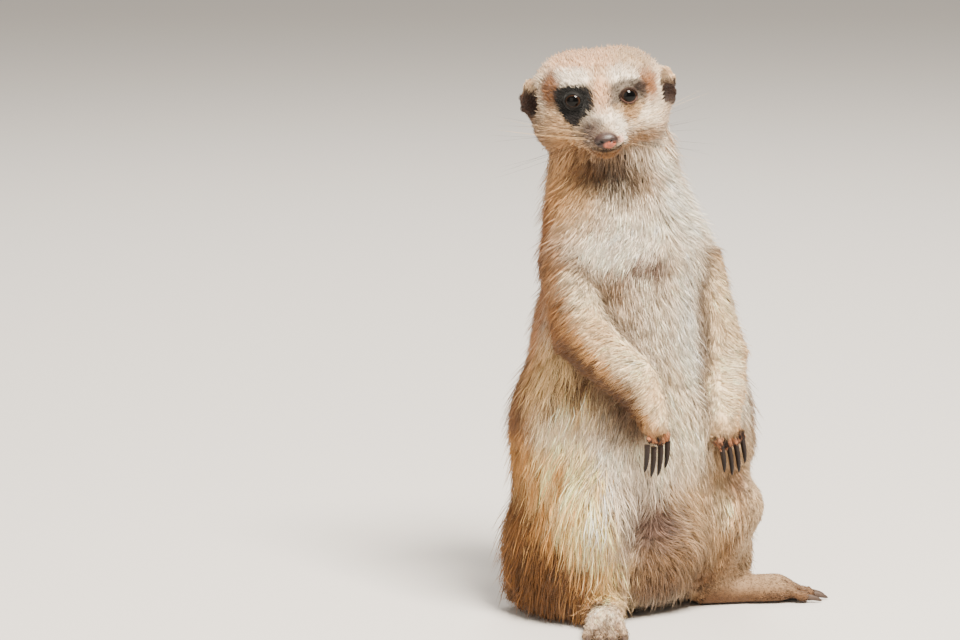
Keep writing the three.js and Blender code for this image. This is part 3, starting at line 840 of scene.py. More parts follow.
def rearward(points):
    """How far each point is out to its own side and back, and streaks that run down the coat."""
    out = ASIDE * np.abs(points[:, 0]) + ASTERN * points[:, 1]
    broad = ripple(points * [1, 1, 0.22], 8, SEED + 11)
    return out, 0.6 * broad + 0.5 * ripple(points * [1, 1, 0.15], 3.5, SEED + 13)


# The bright ridge, the left side of the neck, and the breast.
BREAST_SPOTS = (
    (WHITE, 0.95, (20, -26, 136), (10, 16, 40)),
    (WHITE, 0.9, (21, -12, 196), (15, 18, 24)),
    (WHITE, 0.5, (-12, -24, 180), (20, 14, 12)),
)
# Two of painted shade by the right arm, the throat, two on the neck's right side, and two of painted shade
# over dark fur under the jaw.
THROAT_SPOTS_AND_SHADE = (
    (TAN, 0.35, (-19, -28, 148), (8, 10, 15)),
    (mix(TAN, BROWN, 0.4), 0.8, (-24, -24, 158), (6, 10, 8)),
    (TAN, 0.6, (0, -11, 206), (11, 12, 7)),
    (SAND, 0.8, (-36, 3, 206), (15, 20, 26)),
    (GOLD, 0.25, (-36, 8, 205), (12, 18, 26)),
    (mix(BROWN, TAN, 0.25), 0.95, (-23, -3, 213), (20, 15, 9)),
    (DARK, 0.7, (-12, -9, 208), (12, 11, 9)),
)
# The upper belly, the left groin, the low belly, the lower whorl and above it.
BELLY_SPOTS = (
    (CREAM, 0.5, (0, -36, 95), (26, 22, 24)),
    (SAND, 0.75, (13, -34, 48), (18, 20, 20)),
    (mix(TAN, BROWN, 0.25), 0.9, (4, -28, 24), (28, 18, 18)),
    (MAUVE, 0.95, (-6, -35, 46), (16, 12, 13)),
    (MAUVE, 0.35, (-16, -36, 62), (10, 12, 12)),
)


def chest_colour(points):
    """Grey-cream, with a bright ridge down the left, painted shade by the right arm, painted shade over
    darker fur under the chin, and darker fur with painted shade at the breast's whorl.
    """
    p = points
    colour = mix(GREY_CREAM + 0 * p, GREIGE, 0.3 + 0.4 * ripple(p, 26, SEED + 1))
    colour = paint_spots(p, colour, BREAST_SPOTS)
    # The breast's whorl: a dark arch where the hair parts, darker underfur with painted shade in the parting.
    across = p[:, 0] + 5
    arch = np.exp(-(((p[:, 2] - 168 + 0.05 * across**2) / 4.5) ** 2)) * smooth_step(18, 9, np.abs(across))
    colour = mix(colour, mix(MAUVE, BROWN, 0.3), 0.9 * arch)
    # Painted shade by the right armpit and under the jaw, laid in with the throat's and neck's own colours.
    return paint_spots(p, colour, THROAT_SPOTS_AND_SHADE)


def belly_colour(points, colour):
    """Cream above, tan and greyer low between the legs, with painted shade behind the left heel and under the
    right forearm.
    """
    p = points
    colour = paint_spots(p, colour, BELLY_SPOTS)
    colour = mix(colour, GREY, 0.6 * spot(p, (21, -34, 69), (3.2, 8, 4.5)))
    # Painted shade behind the left heel, where the foot meets the haunch.
    colour = mix(colour, BROWN, 0.8 * spot(p, (29, -21, 17), (9, 10, 13), SOFT))
    colour = mix(colour, BROWN, 0.55 * smooth_step(27, 12, p[:, 2] + 4 * ripple(p, 12, SEED + 17)))
    # Painted shade under the right forearm.
    return mix(colour, BROWN, 0.55 * spot(p, (-24, -34, 96), (10, 14, 9), SOFT))


def flank_colour(points, colour):
    """Brown at the right shoulder's outer edge, and pale shaggy locks with dark gaps below the elbow."""
    p = points
    out, streaks = rearward(p)
    colour = mix(colour, mix(RUFOUS, TAN, 0.5), 0.8 * spot(p, (-50, 0, 168), (11, 16, 24), SOFT))
    shoulder_edge = smooth_step(36, 46, out + 3 * streaks) * smooth_step(136, 150, p[:, 2])
    colour = mix(colour, BROWN, 0.75 * shoulder_edge)
    flank_edge = smooth_step(43, 52, out + 4 * streaks) * smooth_step(60, 80, p[:, 2])
    colour = mix(colour, BROWN, 0.7 * flank_edge)
    locks = spot(p, (-42, -10, 115), (22, 22, 20), SOFT)
    colour = mix(colour, mix(STRAW, SAND, 0.35), 0.9 * locks)
    gaps = smooth_step(0.3, 0.8, ripple(p * [1, 1, 1.6], 7, SEED + 15))
    return mix(colour, BROWN, 0.85 * locks * gaps)


def trunk_colour(points, back):
    """The front's colours, rufous at the sides, and grizzled tan on the back with darker bands."""
    p = points
    out, streaks = rearward(p)
    colour = belly_colour(p, chest_colour(p))
    side = smooth_step(-0.4, 0.1, back + 0.12 * streaks)
    high = 0.6 * smooth_step(182, 205, p[:, 2])
    colour = mix(colour, mix(RUFOUS + 0 * p, SAND, high), 0.9 * side)
    colour = mix(colour, mix(TAN + 0 * p, GREIGE, 0.3 + 0.3 * streaks), 0.85 * smooth_step(0.0, 0.6, back))
    bands = 0.5 + 0.5 * np.cos(2 * math.pi * (p[:, 2] + 3 * ripple(p, 25, SEED + 2)) / 13.5)
    low = smooth_step(165, 130, p[:, 2]) * smooth_step(0.15, 0.6, back) * smooth_step(40, 70, p[:, 2])
    colour = mix(colour, BROWN, 0.7 * low * bands**2)
    colour = flank_colour(p, colour)
    inner = out - 0.25 * p[:, 2] + 2.5 + 5 * streaks
    right = smooth_step(-6, 6, inner) * (p[:, 0] < 0)
    leg = smooth_step(98, 76, p[:, 2]) * np.maximum(right, smooth_step(14, 34, p[:, 0]))
    return mix(colour, haunch_colour(p, back), leg)


def haunch_colour(points, back):
    """Long cream locks, over gold below a line that slants from hip to heel, dark brown lower down."""
    p = points
    out, streaks = rearward(p)
    rear = smooth_step(0.1, 0.6, back)
    edge = np.maximum(out - 0.6 * p[:, 2] - 5, 1.4 * (out - 44)) + 30 * rear
    colour = mix(STRAW + 0 * p, SAND, np.clip(0.05 + 0.35 * streaks, 0, 1))
    colour = mix(colour, GOLD, 0.8 * smooth_step(0.15, 0.9, streaks) * smooth_step(22, 40, out))
    colour = mix(colour, GOLD, 0.95 * smooth_step(-12, 10, edge + 13 * streaks))
    colour = mix(colour, TAN, 0.6 * rear * smooth_step(35, 70, p[:, 2]))
    dark = smooth_step(0, 16, edge + 9 * streaks - 14 * rear) * smooth_step(86, 52, p[:, 2])
    colour = mix(colour, BROWN, dark * (0.85 - 0.4 * rear))
    left = smooth_step(8, 24, p[:, 0]) * smooth_step(34, 10, p[:, 1])
    return mix(colour, left_leg_colour(p), 0.9 * left)


def left_leg_colour(points):
    """Sandy grey, paler at its outer edge and inside the knee, with painted shade over the knee, under the
    hand, and behind the heel.
    """
    colour = mix(GREIGE + 0 * points, mix(TAN, BROWN, 0.12), 0.8 + 0.2 * ripple(points, 12, SEED + 16))
    colour = mix(colour, CREAM, 0.6 * spot(points, (34, -32, 50), (5.5, 9, 10), SOFT))
    out = ASIDE * points[:, 0] - ASTERN * points[:, 1]
    colour = mix(colour, GREIGE, 0.5 * smooth_step(46, 56, out))
    # Painted shade over the knee, under the left hand and the belly.
    colour = mix(colour, mix(MAUVE, BROWN, 0.4), 0.6 * spot(points, (44, -27, 65), (9, 13, 8), SOFT))
    # Painted shade behind the heel, where the foot meets the haunch.
    return mix(colour, BROWN, 0.8 * spot(points, (29, -21, 15), (8, 9, 11), SOFT))


def arm_colour(points):
    """Cream on top, golden brown along the edge that faces down and out, rufous on the upper arm."""
    p = points
    out, streaks = rearward(p)
    colour = mix(CREAM + 0 * p, SAND, np.clip(0.25 + 0.3 * ripple(p, 18, SEED + 3), 0, 1))
    sign = np.where(p[:, 0] < 8, -1.0, 1.0)
    for side in SIDES:
        axis = limb_ends(side)[0]
        middle = centre_of("forearm_" + side)
        under = tangent_part(np.array([SIDES[side] * 0.75, 0.55, -0.45]), axis)
        across = (p - middle) @ under / 8.0 + 0.15 * streaks
        here = (sign == SIDES[side]) * smooth_step(168, 150, p[:, 2])
        strength = 1.0 if side == "right" else 0.6
        colour = mix(colour, GOLD, 0.85 * strength * here * smooth_step(-0.7, 0.2, across))
        colour = mix(colour, BROWN, 0.9 * strength * here * smooth_step(0.1, 0.8, across))
    colour = mix(colour, BROWN, 0.85 * spot(p, (-29, -43, 107), (7, 9, 13), SOFT))
    outer = smooth_step(24, 38, out + 5 * streaks) * smooth_step(112, 140, p[:, 2])
    colour = mix(colour, mix(RUFOUS + 0 * p, TAN, 0.5), 0.9 * outer)
    edge = smooth_step(36, 46, out + 3 * streaks) * smooth_step(130, 150, p[:, 2])
    colour = mix(colour, BROWN, 0.4 * edge)
    specks = smooth_step(0.25, 0.7, ripple(p * [1, 1, 0.5], 4, SEED + 12)) * smooth_step(128, 150, p[:, 2])
    return mix(colour, BROWN, 0.35 * specks * smooth_step(24, 36, out))


def between_toes(points):
    """1 in the gaps between the toes of the hind feet."""
    gap = np.zeros((len(points), 1))
    for side in SIDES:
        claws = [claw_line(f"hindclaw_{side}_{i}") for i in range(1, 5)]
        for (a, bend_a, _, _), (b, bend_b, _, _) in zip(claws, claws[1:]):
            way = unit((a - bend_a + b - bend_b) * [1, 1, 0])
            across = unit(np.cross(way, UP))
            off = points - (a + b) / 2
            along = off @ way
            here = smooth_step(-1, 2, along) * smooth_step(17, 10, along)
            near = np.exp(-((off @ across / 0.9) ** 2))
            gap = np.maximum(gap, (here * near).reshape(-1, 1))
    return gap[:, 0]


def hand_colour(points):
    """Sandy fur down to the knuckles, then pinkish fingers with dark brown hair between them."""
    colour = mix(arm_colour(points), mix(SAND, TAN, 0.6), 0.6)
    for side in SIDES:
        claws = [claw_line(f"foreclaw_{side}_{i}")[0] for i in range(1, 5)]
        away = np.min([np.linalg.norm(points - c, axis=1) for c in claws], axis=0)
        knuckles = smooth_step(8.5, 4.5, away)
        finger = mix(DARK + 0 * points, FINGER, smooth_step(-0.2, 0.6, ripple(points, 3.2, SEED + 9)))
        colour = mix(colour, finger, knuckles)
    return colour


def head_colour(points, trunk):
    """The face in front, then a tan nape that runs into the trunk's colour."""
    p = points
    face = face_colour(p, mix(GREY_CREAM + 0 * p, CREAM, 0.4))
    nape = mix(mix(TAN + 0 * p, PINK_TAN, 0.4), RUFOUS, 0.2 + 0.2 * ripple(p, 12, SEED + 14))
    nape = mix(nape, trunk, smooth_step(10, 34, behind_face(p) + 4 * ripple(p, 10, SEED + 18)))
    return mix(face, nape, smooth_step(8, 28, behind_face(p) + 3))


def ear_colour(points):
    """Dark brown, with a pale upper rim that comes lower on the left ear."""
    high = to_face(points)[:, 2] + 1.2 * ripple(points, 3, SEED + 8)
    top = smooth_step(1.5, 6.0, high + np.where(points[:, 0] > FACE_ORIGIN[0], 1.0, 0.0))
    return mix(EAR_BROWN + 0 * points, mix(PINK_TAN, CREAM, 0.5), top)


def foot_colour(points):
    """Pale on the right, sandy grey and dimmed by painted shade on the left, with painted shade low down and
    by the shin, and brown between the toes.
    """
    left = 0.95 * smooth_step(0, 30, points[:, 0])
    # The left foot's sandy grey is also dimmed, as painted shade.
    colour = mix(mix(GREY_CREAM, SAND, 0.3) + 0 * points, 0.7 * mix(TAN, GREIGE, 0.2), left)
    # Painted shade low down, towards the floor.
    colour = mix(colour, BROWN, 0.75 * smooth_step(11, 3, points[:, 2]))
    # Painted shade behind the heel, by the shin.
    colour = mix(colour, BROWN, 0.8 * spot(points, (36, -20, 11), (10, 9, 9), SOFT))
    return mix(colour, BROWN, 0.7 * between_toes(points))


def coat_colour(points, weights):
    """The colour of the coat, and of the skin under it, at each point."""
    p = points
    out = unit(p[:, :2] - SPINE)
    trunk = trunk_colour(p, out[:, 1])
    head = head_colour(p, trunk)
    arm = arm_colour(p)
    colours = dict.fromkeys(PARTS, trunk)
    colours |= {"head": head, "jaw": head, "ear": ear_colour(p), "arm": arm, "forearm": arm}
    colours |= {"hand": hand_colour(p), "shin": left_leg_colour(p), "foot": foot_colour(p)}
    colours["tail"] = mix(SAND + 0 * p, TAN, 0.5 + 0.5 * ripple(p, 20, SEED + 5))
    colours["tail_tip"] = DARK + 0 * p
    colour = sum(weights[:, [i]] * colours[part] for i, part in enumerate(PARTS))
    # Painted shade, over darker fur, along the crease where each arm lies against the trunk.
    colour = mix(colour, BROWN, 0.6 * np.clip(arm_crease(weights), 0, 1))
    # The head painted a little darker, as shade against the key light, which falls on it more strongly than
    # on the body.
    colour = colour * (1 - 0.13 * belonging(weights, "head")[:, None])
    colour = lip_colour(p, lid_colour(p, colour))
    colour = np.maximum(colour, 0) ** DEEPER
    return np.clip(colour * (1 + 0.05 * ripple(p, 9, SEED + 6))[:, None], 0.004, 0.95)


# ---------------------------------------------------------------- the skin
def inset(surface, depth):
    """The surface moved in by the coat's depth, a little at a time."""
    for _ in range(4):
        surface.points = surface.points - surface.normals() * (depth / 4)[:, None]
        surface.smooth(1, 0.5)


def make_skin():
    """The skin's surface, how much each vertex belongs to each coat part, and the way the hair lies there."""
    surface = fused_flesh()
    surface.smooth(5)
    filled = belonging(part_weights(surface), "thigh", "belly", "rump", "shin")
    fill_creases(surface, surface.spread(filled, 2))
    ease_knee(surface)
    digit_list = digits()
    surface = refined(surface, is_face(surface.points) | near_digits(surface.points, digit_list, 3.0))
    surface.smooth(2)
    surface = refined(surface, is_fine_face(surface.points) | near_digits(surface.points, digit_list, 1.5))
    surface.smooth(2)
    weights = surface.spread(part_weights(surface), 8)
    depth = coat_value(weights, "depth") * coat_share(surface.points) + SWELL
    inset(surface, surface.spread(depth + ARM_CREASE * arm_crease(weights), 4))
    carve_digits(surface, digit_list)
    sink_round_eyes(surface)
    press_mouth(surface)
    lying = lie_of_the_hair(surface, weights)
    surface, kept = cut_openings(surface)
    weights, lying = weights[kept], lying[kept]
    return surface, weights, lying


# ---------------------------------------------------------------- materials
def new_material(name, roughness, specular):
    """A new material, with its nodes, its links and its main shader."""
    material = bpy.data.materials.new(name)
    material.use_nodes = True
    nodes = material.node_tree.nodes
    shader = nodes["Principled BSDF"]
    shader.inputs["Roughness"].default_value = roughness
    shader.inputs["Specular IOR Level"].default_value = specular
    return material, nodes, material.node_tree.links, shader


def noise_node(nodes, links, scale, detail):
    """A noise in the piece's own space."""
    texture = nodes.new("ShaderNodeTexNoise")
    texture.inputs["Scale"].default_value = scale
    texture.inputs["Detail"].default_value = detail
    place = nodes.new("ShaderNodeTexCoord")
    links.new(place.outputs["Object"], texture.inputs["Vector"])
    return texture.outputs["Fac"]


def vertex_values(nodes, name):
    """A node that reads the colours or numbers given to a piece's vertices."""
    node = nodes.new("ShaderNodeAttribute")
    node.attribute_name = name
    return node


def spread_between(nodes, links, value, low, high):
    """A value from 0 to 1 spread between low and high."""
    node = nodes.new("ShaderNodeMapRange")
    node.inputs["To Min"].default_value = low
    node.inputs["To Max"].default_value = high
    links.new(value, node.inputs["Value"])
    return node.outputs["Result"]


def multiply(nodes, links, a, b):
    """The output of a node that multiplies two colours."""
    node = nodes.new("ShaderNodeMix")
    node.data_type = "RGBA"
    node.blend_type = "MULTIPLY"
    node.inputs["Factor"].default_value = 1.0
    links.new(a, node.inputs["A"])
    links.new(b, node.inputs["B"])
    return node.outputs["Result"]


def colour_ramp(nodes, links, value, stops):
    """Colours along a value, each stop given as its place and its colour."""
    node = nodes.new("ShaderNodeValToRGB")
    first, last = node.color_ramp.elements
    first.color = (*stops[0][1], 1)
    last.position = stops[-1][0]
    last.color = (*stops[-1][1], 1)
    for position, colour in stops[1:-1]:
        node.color_ramp.elements.new(position).color = (*colour, 1)
    links.new(value, node.inputs["Fac"])
    return node.outputs["Color"]


def raise_relief(nodes, links, shader, height, strength, distance):
    """Fine relief on the surface, from a height."""
    node = nodes.new("ShaderNodeBump")
    node.inputs["Strength"].default_value = strength
    node.inputs["Distance"].default_value = distance
    links.new(height, node.inputs["Height"])
    links.new(node.outputs["Normal"], shader.inputs["Normal"])
    return node


# How bright a hair is midway and at its tip, as shares of the coat's colour.
FUR_SHADES = ((0.45, (0.97, 0.965, 0.96)), (1.0, (1.12, 1.12, 1.12)))


def fur_material(name, root, bump=0.0):
    """Fur: the coat's own colour, darker at the roots, paler at the tips, flecked by a fine noise."""
    material, nodes, links, shader = new_material(name, 0.65, 0.2)
    shader.inputs["Sheen Weight"].default_value = 0.08
    shader.inputs["Sheen Roughness"].default_value = 0.5
    colour = vertex_values(nodes, "coat_colour").outputs["Color"]
    along = vertex_values(nodes, "along").outputs["Fac"]
    at_root = (root, root * 0.94, root * 0.87)
    shade = colour_ramp(nodes, links, along, ((0.0, at_root), *FUR_SHADES))
    fleck = spread_between(nodes, links, noise_node(nodes, links, 900, 2.0), 0.86, 1.12)
    shaded = multiply(nodes, links, colour, shade)
    links.new(multiply(nodes, links, shaded, fleck), shader.inputs["Base Color"])
    if bump:
        raise_relief(nodes, links, shader, noise_node(nodes, links, 1400, 4.0), bump, 0.0006)
    return material


def skin_material():
    """The skin under the hair: the same fur finish, with a fine relief."""
    return fur_material("skin_finish", 0.8, bump=0.6)


# ---------------------------------------------------------------- the coat
# Steps of each tuft's guide line, and how far below the skin a hair is rooted.
STEPS = 4
ROOT_BELOW = 0.3
# Places tried for tufts in a square of the spacing, and how near two may stand, as a share of it.
TRIES = 1.55
APART = 0.62
# How far from its tuft's root a hair may stand, as a share of the spacing.
TUFT_RADIUS = 0.78
# A tuft's patch on the OFBake map, and the most triangles in one piece of the coat.
PATCH = 0.003
PIECE_TRIANGLES = 190000
# The share of stray hairs, and how much higher they stand than others.
STRAY_SHARE = 0.09
STRAY_RISE = 1.9
# How much darker guard hair is, as a power of e, and how far borders between colours fray, in hair lengths.
DARKER = 0.55
RAGGED = 0.14


def scatter(surface, weights, bare, rng):
    """Places for tufts, spread evenly by each part's spacing: a triangle, and shares of its corners."""
    area = np.linalg.norm(surface.face_normals(), axis=1) / 2
    spacing = coat_value(weights, "spacing")[surface.triangles].mean(1)
    wanted = area / spacing**2 * TRIES * (1 - bare[surface.triangles].max(1))
    total = np.cumsum(wanted)
    pick = np.searchsorted(total, rng.uniform(0, total[-1], int(total[-1])))
    a, b = rng.uniform(0, 1, (2, len(pick)))
    flip = a + b > 1
    a, b = np.where(flip, 1 - a, a), np.where(flip, 1 - b, b)
    shares = np.stack([1 - a - b, a, b], axis=1)
    corners = surface.triangles[pick]
    places = (surface.points[corners] * shares[:, :, None]).sum(1)
    tree = KDTree(len(places))
    for i, place in enumerate(places.tolist()):
        tree.insert(place, i)
    tree.balance()
    keep = np.ones(len(places), bool)
    reach = (spacing[pick] * APART).tolist()
    for i, place in enumerate(places.tolist()):
        if keep[i]:
            for _, other, _ in tree.find_range(place, reach[i]):
                if other > i:
                    keep[other] = False
    return pick[keep], shares[keep]


class Tufts:
    """Where each tuft is rooted, and what it takes from the skin there."""

    def __init__(self, surface, weights, lying, length, hang, uv, bare, rng):
        face, shares = scatter(surface, weights, bare, rng)
        corners = surface.triangles[face]

        def at_root(values):
            return (values[corners] * shares.reshape(shares.shape + (1,) * (values.ndim - 1))).sum(1)

        self.root = at_root(surface.points)
        self.normal = unit(at_root(surface.normals()))
        self.lying = unit(at_root(lying))
        part_shares = at_root(weights)
        self.part = part_shares.argmax(1)
        self.length = at_root(length)
        self.hang = at_root(hang)
        self.depth = coat_value(part_shares, "depth") * coat_share(self.root)
        self.width = coat_value(part_shares, "width")
        shaggy = shag(self.root)
        self.clump = coat_value(part_shares, "clump") * (1 + 0.5 * shaggy)
        self.contrast = coat_value(part_shares, "contrast") * (1 + 0.9 * shaggy)
        self.spacing = coat_value(part_shares, "spacing")
        # A tuft takes the colour that the coat has where the middle of the tuft will lie.
        seen = self.root + self.lying * (0.45 * self.length)[:, None]
        seen = seen + self.normal * (0.6 * self.depth)[:, None]
        seen = seen + rng.normal(0, 1, seen.shape) * (RAGGED * self.length)[:, None]
        self.colour = coat_colour(seen, part_shares)
        self.uv = (uv[face] * shares[:, :, None]).sum(1)


def guides(tufts, surface, lying):
    """For each tuft, points along the skin that its hairs follow, and the way out of the skin at each."""
    tree = surface.tree()
    face_out = unit(surface.face_normals())
    face_way = unit(lying[surface.triangles].mean(1))
    point, way, out = tufts.root, tufts.lying, tufts.normal
    path, outs = [point], [out]
    step = (tufts.length / STEPS)[:, None]
    for _ in range(STEPS):
        goal = point + way * step
        found = [tree.find_nearest(p) for p in goal.tolist()]
        near = np.array([f[0] for f in found])
        face = np.array([f[2] for f in found])
        free = unit(way + 0.5 * DOWN) * step + point
        below = ((free - near) * face_out[face]).sum(1) < 0.2
        hang = np.where(below, 0, tufts.hang)
        point = mix(near, free, hang)
        out = unit(mix(out, face_out[face], 0.6 * (1 - hang)))
        way = unit(mix(tangent_part(0.5 * way + 0.5 * face_way[face], out), unit(way + 0.3 * DOWN), hang))
        path.append(point)
        outs.append(out)
    return np.stack(path, 1), np.stack(outs, 1)


class Hairs:
    """Every hair of the chosen tufts: its reach, its place in the tuft, its bend, its rise and its width."""

    def __init__(self, tufts, chosen, count, rng):
        shape = (len(chosen), count)

        def own(values):
            return values[chosen][:, None]

        self.reach = rng.uniform(0.62, 1.08, shape)
        disc = own(tufts.spacing) * TUFT_RADIUS * np.sqrt(rng.uniform(0, 1, shape))
        turn = rng.uniform(0, 2 * math.pi, shape)
        self.aside, self.ahead = disc * np.cos(turn), disc * np.sin(turn)
        self.fray = rng.normal(0, 0.09, shape) * own(tufts.length)
        self.bend = rng.normal(0, 0.06, shape) * own(tufts.length)
        stray = np.where(rng.uniform(0, 1, shape) < STRAY_SHARE, STRAY_RISE, 1.0)
        self.rise = rng.uniform(0.4, 1.15, shape) * own(tufts.depth) * stray
        self.clump = own(tufts.clump) * rng.uniform(0.7, 1.2, (len(chosen), 1))
        self.thick = own(tufts.width) * rng.uniform(0.75, 1.25, shape)

    def offsets(self, t):
        """How far each hair stands from its guide at the share t of its length: aside, ahead and up."""
        aside = self.aside * (1 - self.clump * t) + self.fray * t + self.bend * math.sin(math.pi * t)
        ahead = self.ahead * (1 - 0.6 * self.clump * t)
        up = -ROOT_BELOW + (self.rise + ROOT_BELOW) * t**0.8
        return aside[..., None], ahead[..., None], up[..., None]


def blade_lines(tufts, chosen, hairs, segments):
    """The middle line of every hair, and the ways across it and out of the skin along it."""
    rings, frames = [], []
    rows = chosen[:, None]
    for k in range(segments + 1):
        t = k / segments
        along = np.clip(hairs.reach * t, 0, 1.0) * STEPS
        low = np.minimum(along.astype(int), STEPS - 1)
        part = (along - low)[..., None]
        start, end = tufts.path[rows, low], tufts.path[rows, low + 1]
        out = unit(tufts.outs[rows, low] * (1 - part) + tufts.outs[rows, low + 1] * part)
        side = unit(np.cross(out, end - start))
        way = np.cross(side, out)
        aside, ahead, up = hairs.offsets(t)
        rings.append(start * (1 - part) + end * part + side * aside + way * ahead + out * up)
        frames.append((side, out))
    return rings, frames


def blade_mesh(rings, frames, thick):
    """Each blade as a closed three-sided spike: its points and triangles."""
    segments = len(rings) - 1
    parts = []
    for k in range(segments):
        side, out = frames[k]
        half = (thick * (0.42 + 0.16 * math.sin(math.pi * (k + 0.6) / segments)))[..., None]
        parts += [rings[k] - side * half, rings[k] + side * half, rings[k] + out * half * 0.9]
    parts.append(rings[-1])
    points = np.stack(parts, axis=2)
    points[..., 2] = np.maximum(points[..., 2], 0.05)
    per = points.shape[2]
    tri = []
    for k in range(segments - 1):
        for i in range(3):
            a, b = 3 * k + i, 3 * k + (i + 1) % 3
            tri += [(a, b, b + 3), (a, b + 3, a + 3)]
    last, tip = 3 * (segments - 1), per - 1
    tri += [(last + i, last + (i + 1) % 3, tip) for i in range(3)]
    tri += [(0, 2, 1)]
    total = points.shape[0] * points.shape[1]
    triangles = np.array(tri)[None] + (np.arange(total) * per)[:, None, None]
    return points.reshape(-1, 3), triangles.reshape(-1, 3), per


def hair_colours(tufts, chosen, settings, rng):
    """Each hair's colour: its tuft's, made lighter or darker by lock and by hair, and warmer or cooler."""
    count = len(chosen)
    contrast = tufts.contrast[chosen][:, None, None]
    lock = rng.normal(0, 1, (count, 1, 1)) * contrast
    lock -= np.where(rng.uniform(0, 1, (count, 1, 1)) < settings["dark"], DARKER, 0)
    hair = rng.normal(0, 0.07, (count, settings["hairs"], 1))
    tint = np.exp(lock + hair + 0.03)
    warm = 1 + rng.normal(0, 0.3, (count, 1, 1)) * contrast * np.array([0.3, 0.0, -0.6])
    colour = tufts.colour[chosen][:, None, :] * tint * warm
    return np.clip(colour, 0.003, 0.93).reshape(-1, 3)


def shares_along(segments):
    """How far along a hair each point of its spike is: three at each step, and one at the tip."""
    return np.append(np.repeat(np.arange(segments) / segments, 3), 1.0)


def hair_patches(tufts, chosen, hairs, segments):
    """The OFBake places of every hair's points: a small patch to a tuft, with its hairs side by side."""
    across = np.append(np.tile((-0.45, 0.45, 0.0), segments), 0.15)
    column = (np.arange(hairs) + 0.5) / hairs - 0.5
    root = tufts.uv[chosen][:, :, None, None]
    u = root[:, 0] + PATCH * (column[None, :, None] + across / hairs)
    v = root[:, 1] + PATCH * (shares_along(segments) - 0.5) + 0 * u
    return np.clip(np.stack([u.ravel(), v.ravel()], axis=1), 0.0005, 0.9995)


SHORT_PARTS = ("head", "jaw", "ear", "hand", "foot")
SEGMENTS = {"thigh": 3}  # steps along each hair, which has two everywhere else


def make_coat_piece(name, tufts, chosen, part, material, rng):
    """One of the coat's meshes, from the chosen tufts of one part."""
    settings = COATS[part]
    segments = SEGMENTS.get(part, 2)
    hairs = Hairs(tufts, chosen, settings["hairs"], rng)
    points, triangles, per = blade_mesh(*blade_lines(tufts, chosen, hairs, segments), hairs.thick)
    colour = hair_colours(tufts, chosen, settings, rng)
    uv = hair_patches(tufts, chosen, settings["hairs"], segments)
    mesh = mesh_of(name, points, triangles)
    give_colours(mesh, "coat_colour", np.repeat(colour, per, axis=0))
    give_values(mesh, "along", np.tile(shares_along(segments), len(colour)))
    layer = mesh.uv_layers.new(name="OFBake")
    layer.data.foreach_set("uv", uv[triangles.ravel()].astype(np.float32).ravel())
    mesh.materials.append(material)
    piece = new_object(name, mesh)
    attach(piece, "root")
    return len(triangles)


def make_coat(surface, weights, lying, length, hang, uv, bare):
    """The whole coat, part by part, each in pieces of a fair size."""
    rng = np.random.default_rng(SEED)
    tufts = Tufts(surface, weights, lying, length, hang, uv, bare, rng)
    tufts.path, tufts.outs = guides(tufts, surface, lying)
    long_fur = fur_material("long_fur_finish", 0.72)
    short_fur = fur_material("short_fur_finish", 0.8)
    total = 0
    for i, part in enumerate(PARTS):
        material = short_fur if part in SHORT_PARTS else long_fur
        each = COATS[part]["hairs"] * (6 * SEGMENTS.get(part, 2) - 2)
        chosen = np.flatnonzero(tufts.part == i)
        chosen = chosen[np.argsort(tufts.root[chosen, 2], kind="stable")]
        pieces = max(1, math.ceil(len(chosen) * each / PIECE_TRIANGLES))
        for number, group in enumerate(np.array_split(chosen, pieces)):
            total += make_coat_piece(f"coat_{part}_{number + 1}", tufts, group, part, material, rng)
        print("scene: coat", part, len(chosen), "tufts", len(chosen) * each, "triangles")
    print("scene: coat in all", len(tufts.root), "tufts", total, "triangles")


def skin_uv(thing):
    """An unwrap of the skin's own shape, named OFBake, and its UVs by triangle corner."""
    thing.data.uv_layers.new(name="OFBake")
    bpy.context.view_layer.objects.active = thing
    thing.select_set(True)
    bpy.ops.object.mode_set(mode="EDIT")
    bpy.ops.mesh.select_all(action="SELECT")
    bpy.ops.uv.smart_project(angle_limit=math.radians(60), island_margin=0.002)
    bpy.ops.object.mode_set(mode="OBJECT")
    thing.select_set(False)
    uv = np.zeros(len(thing.data.loops) * 2)
    thing.data.uv_layers["OFBake"].data.foreach_get("uv", uv)
    return uv.reshape(-1, 3, 2)


def hair_length(points, weights):
    """The hair's length: shortest at the nose, lips and eyes, longest on the flank and haunch."""
    length = coat_value(weights, "length")
    p = to_face(points)
    nose_far = np.linalg.norm(points - NOSE, axis=1)
    length = length * (0.38 + 0.62 * smooth_step(5, 26, nose_far))
    for side in SIDES:
        distance = eye_angles(side, points)[0]
        length = length * (0.5 + 0.5 * smooth_step(EYE_R, EYE_R + 7, distance))
    whorl = 1 - smooth_step(10, WHORL_REACH, np.linalg.norm(points - WHORL, axis=1))
    length = length * (1 - 0.3 * whorl)
    ruff = np.exp(-(((points[:, 2] - 205) / 14) ** 2)) * belonging(weights, "neck")
    side = np.abs(p) * [1, 0, 0] + p * [0, 1, 1]
    by_ear = spot(side, (28, 12, 9), (8, 10, 7))
    jaw_angle = spot(side, (23, 12, -18), (9, 14, 11))
    nape = smooth_step(14, 44, behind_face(points)) * belonging(weights, "head")
    length = length * (1 + 0.8 * shag(points) + 0.15 * ruff + 0.9 * by_ear + 1.2 * jaw_angle + 1.3 * nape)
    ankle = smooth_step(34, 6, points[:, 2]) * belonging(weights, "thigh")
    by_foot = spot(points, LEFT_HEEL, (26, 14, 16), SOFT)
    return length * (1 - 0.5 * left_knee(points)) * (1 - 0.5 * ankle) * (1 - 0.6 * by_foot)


def hair_hang(points, weights):
    """How freely hair hangs, from 0 where it hugs the skin to 1."""
    return np.clip(0.7 * shag(points) + 0.25 * belonging(weights, "thigh"), 0, 1)


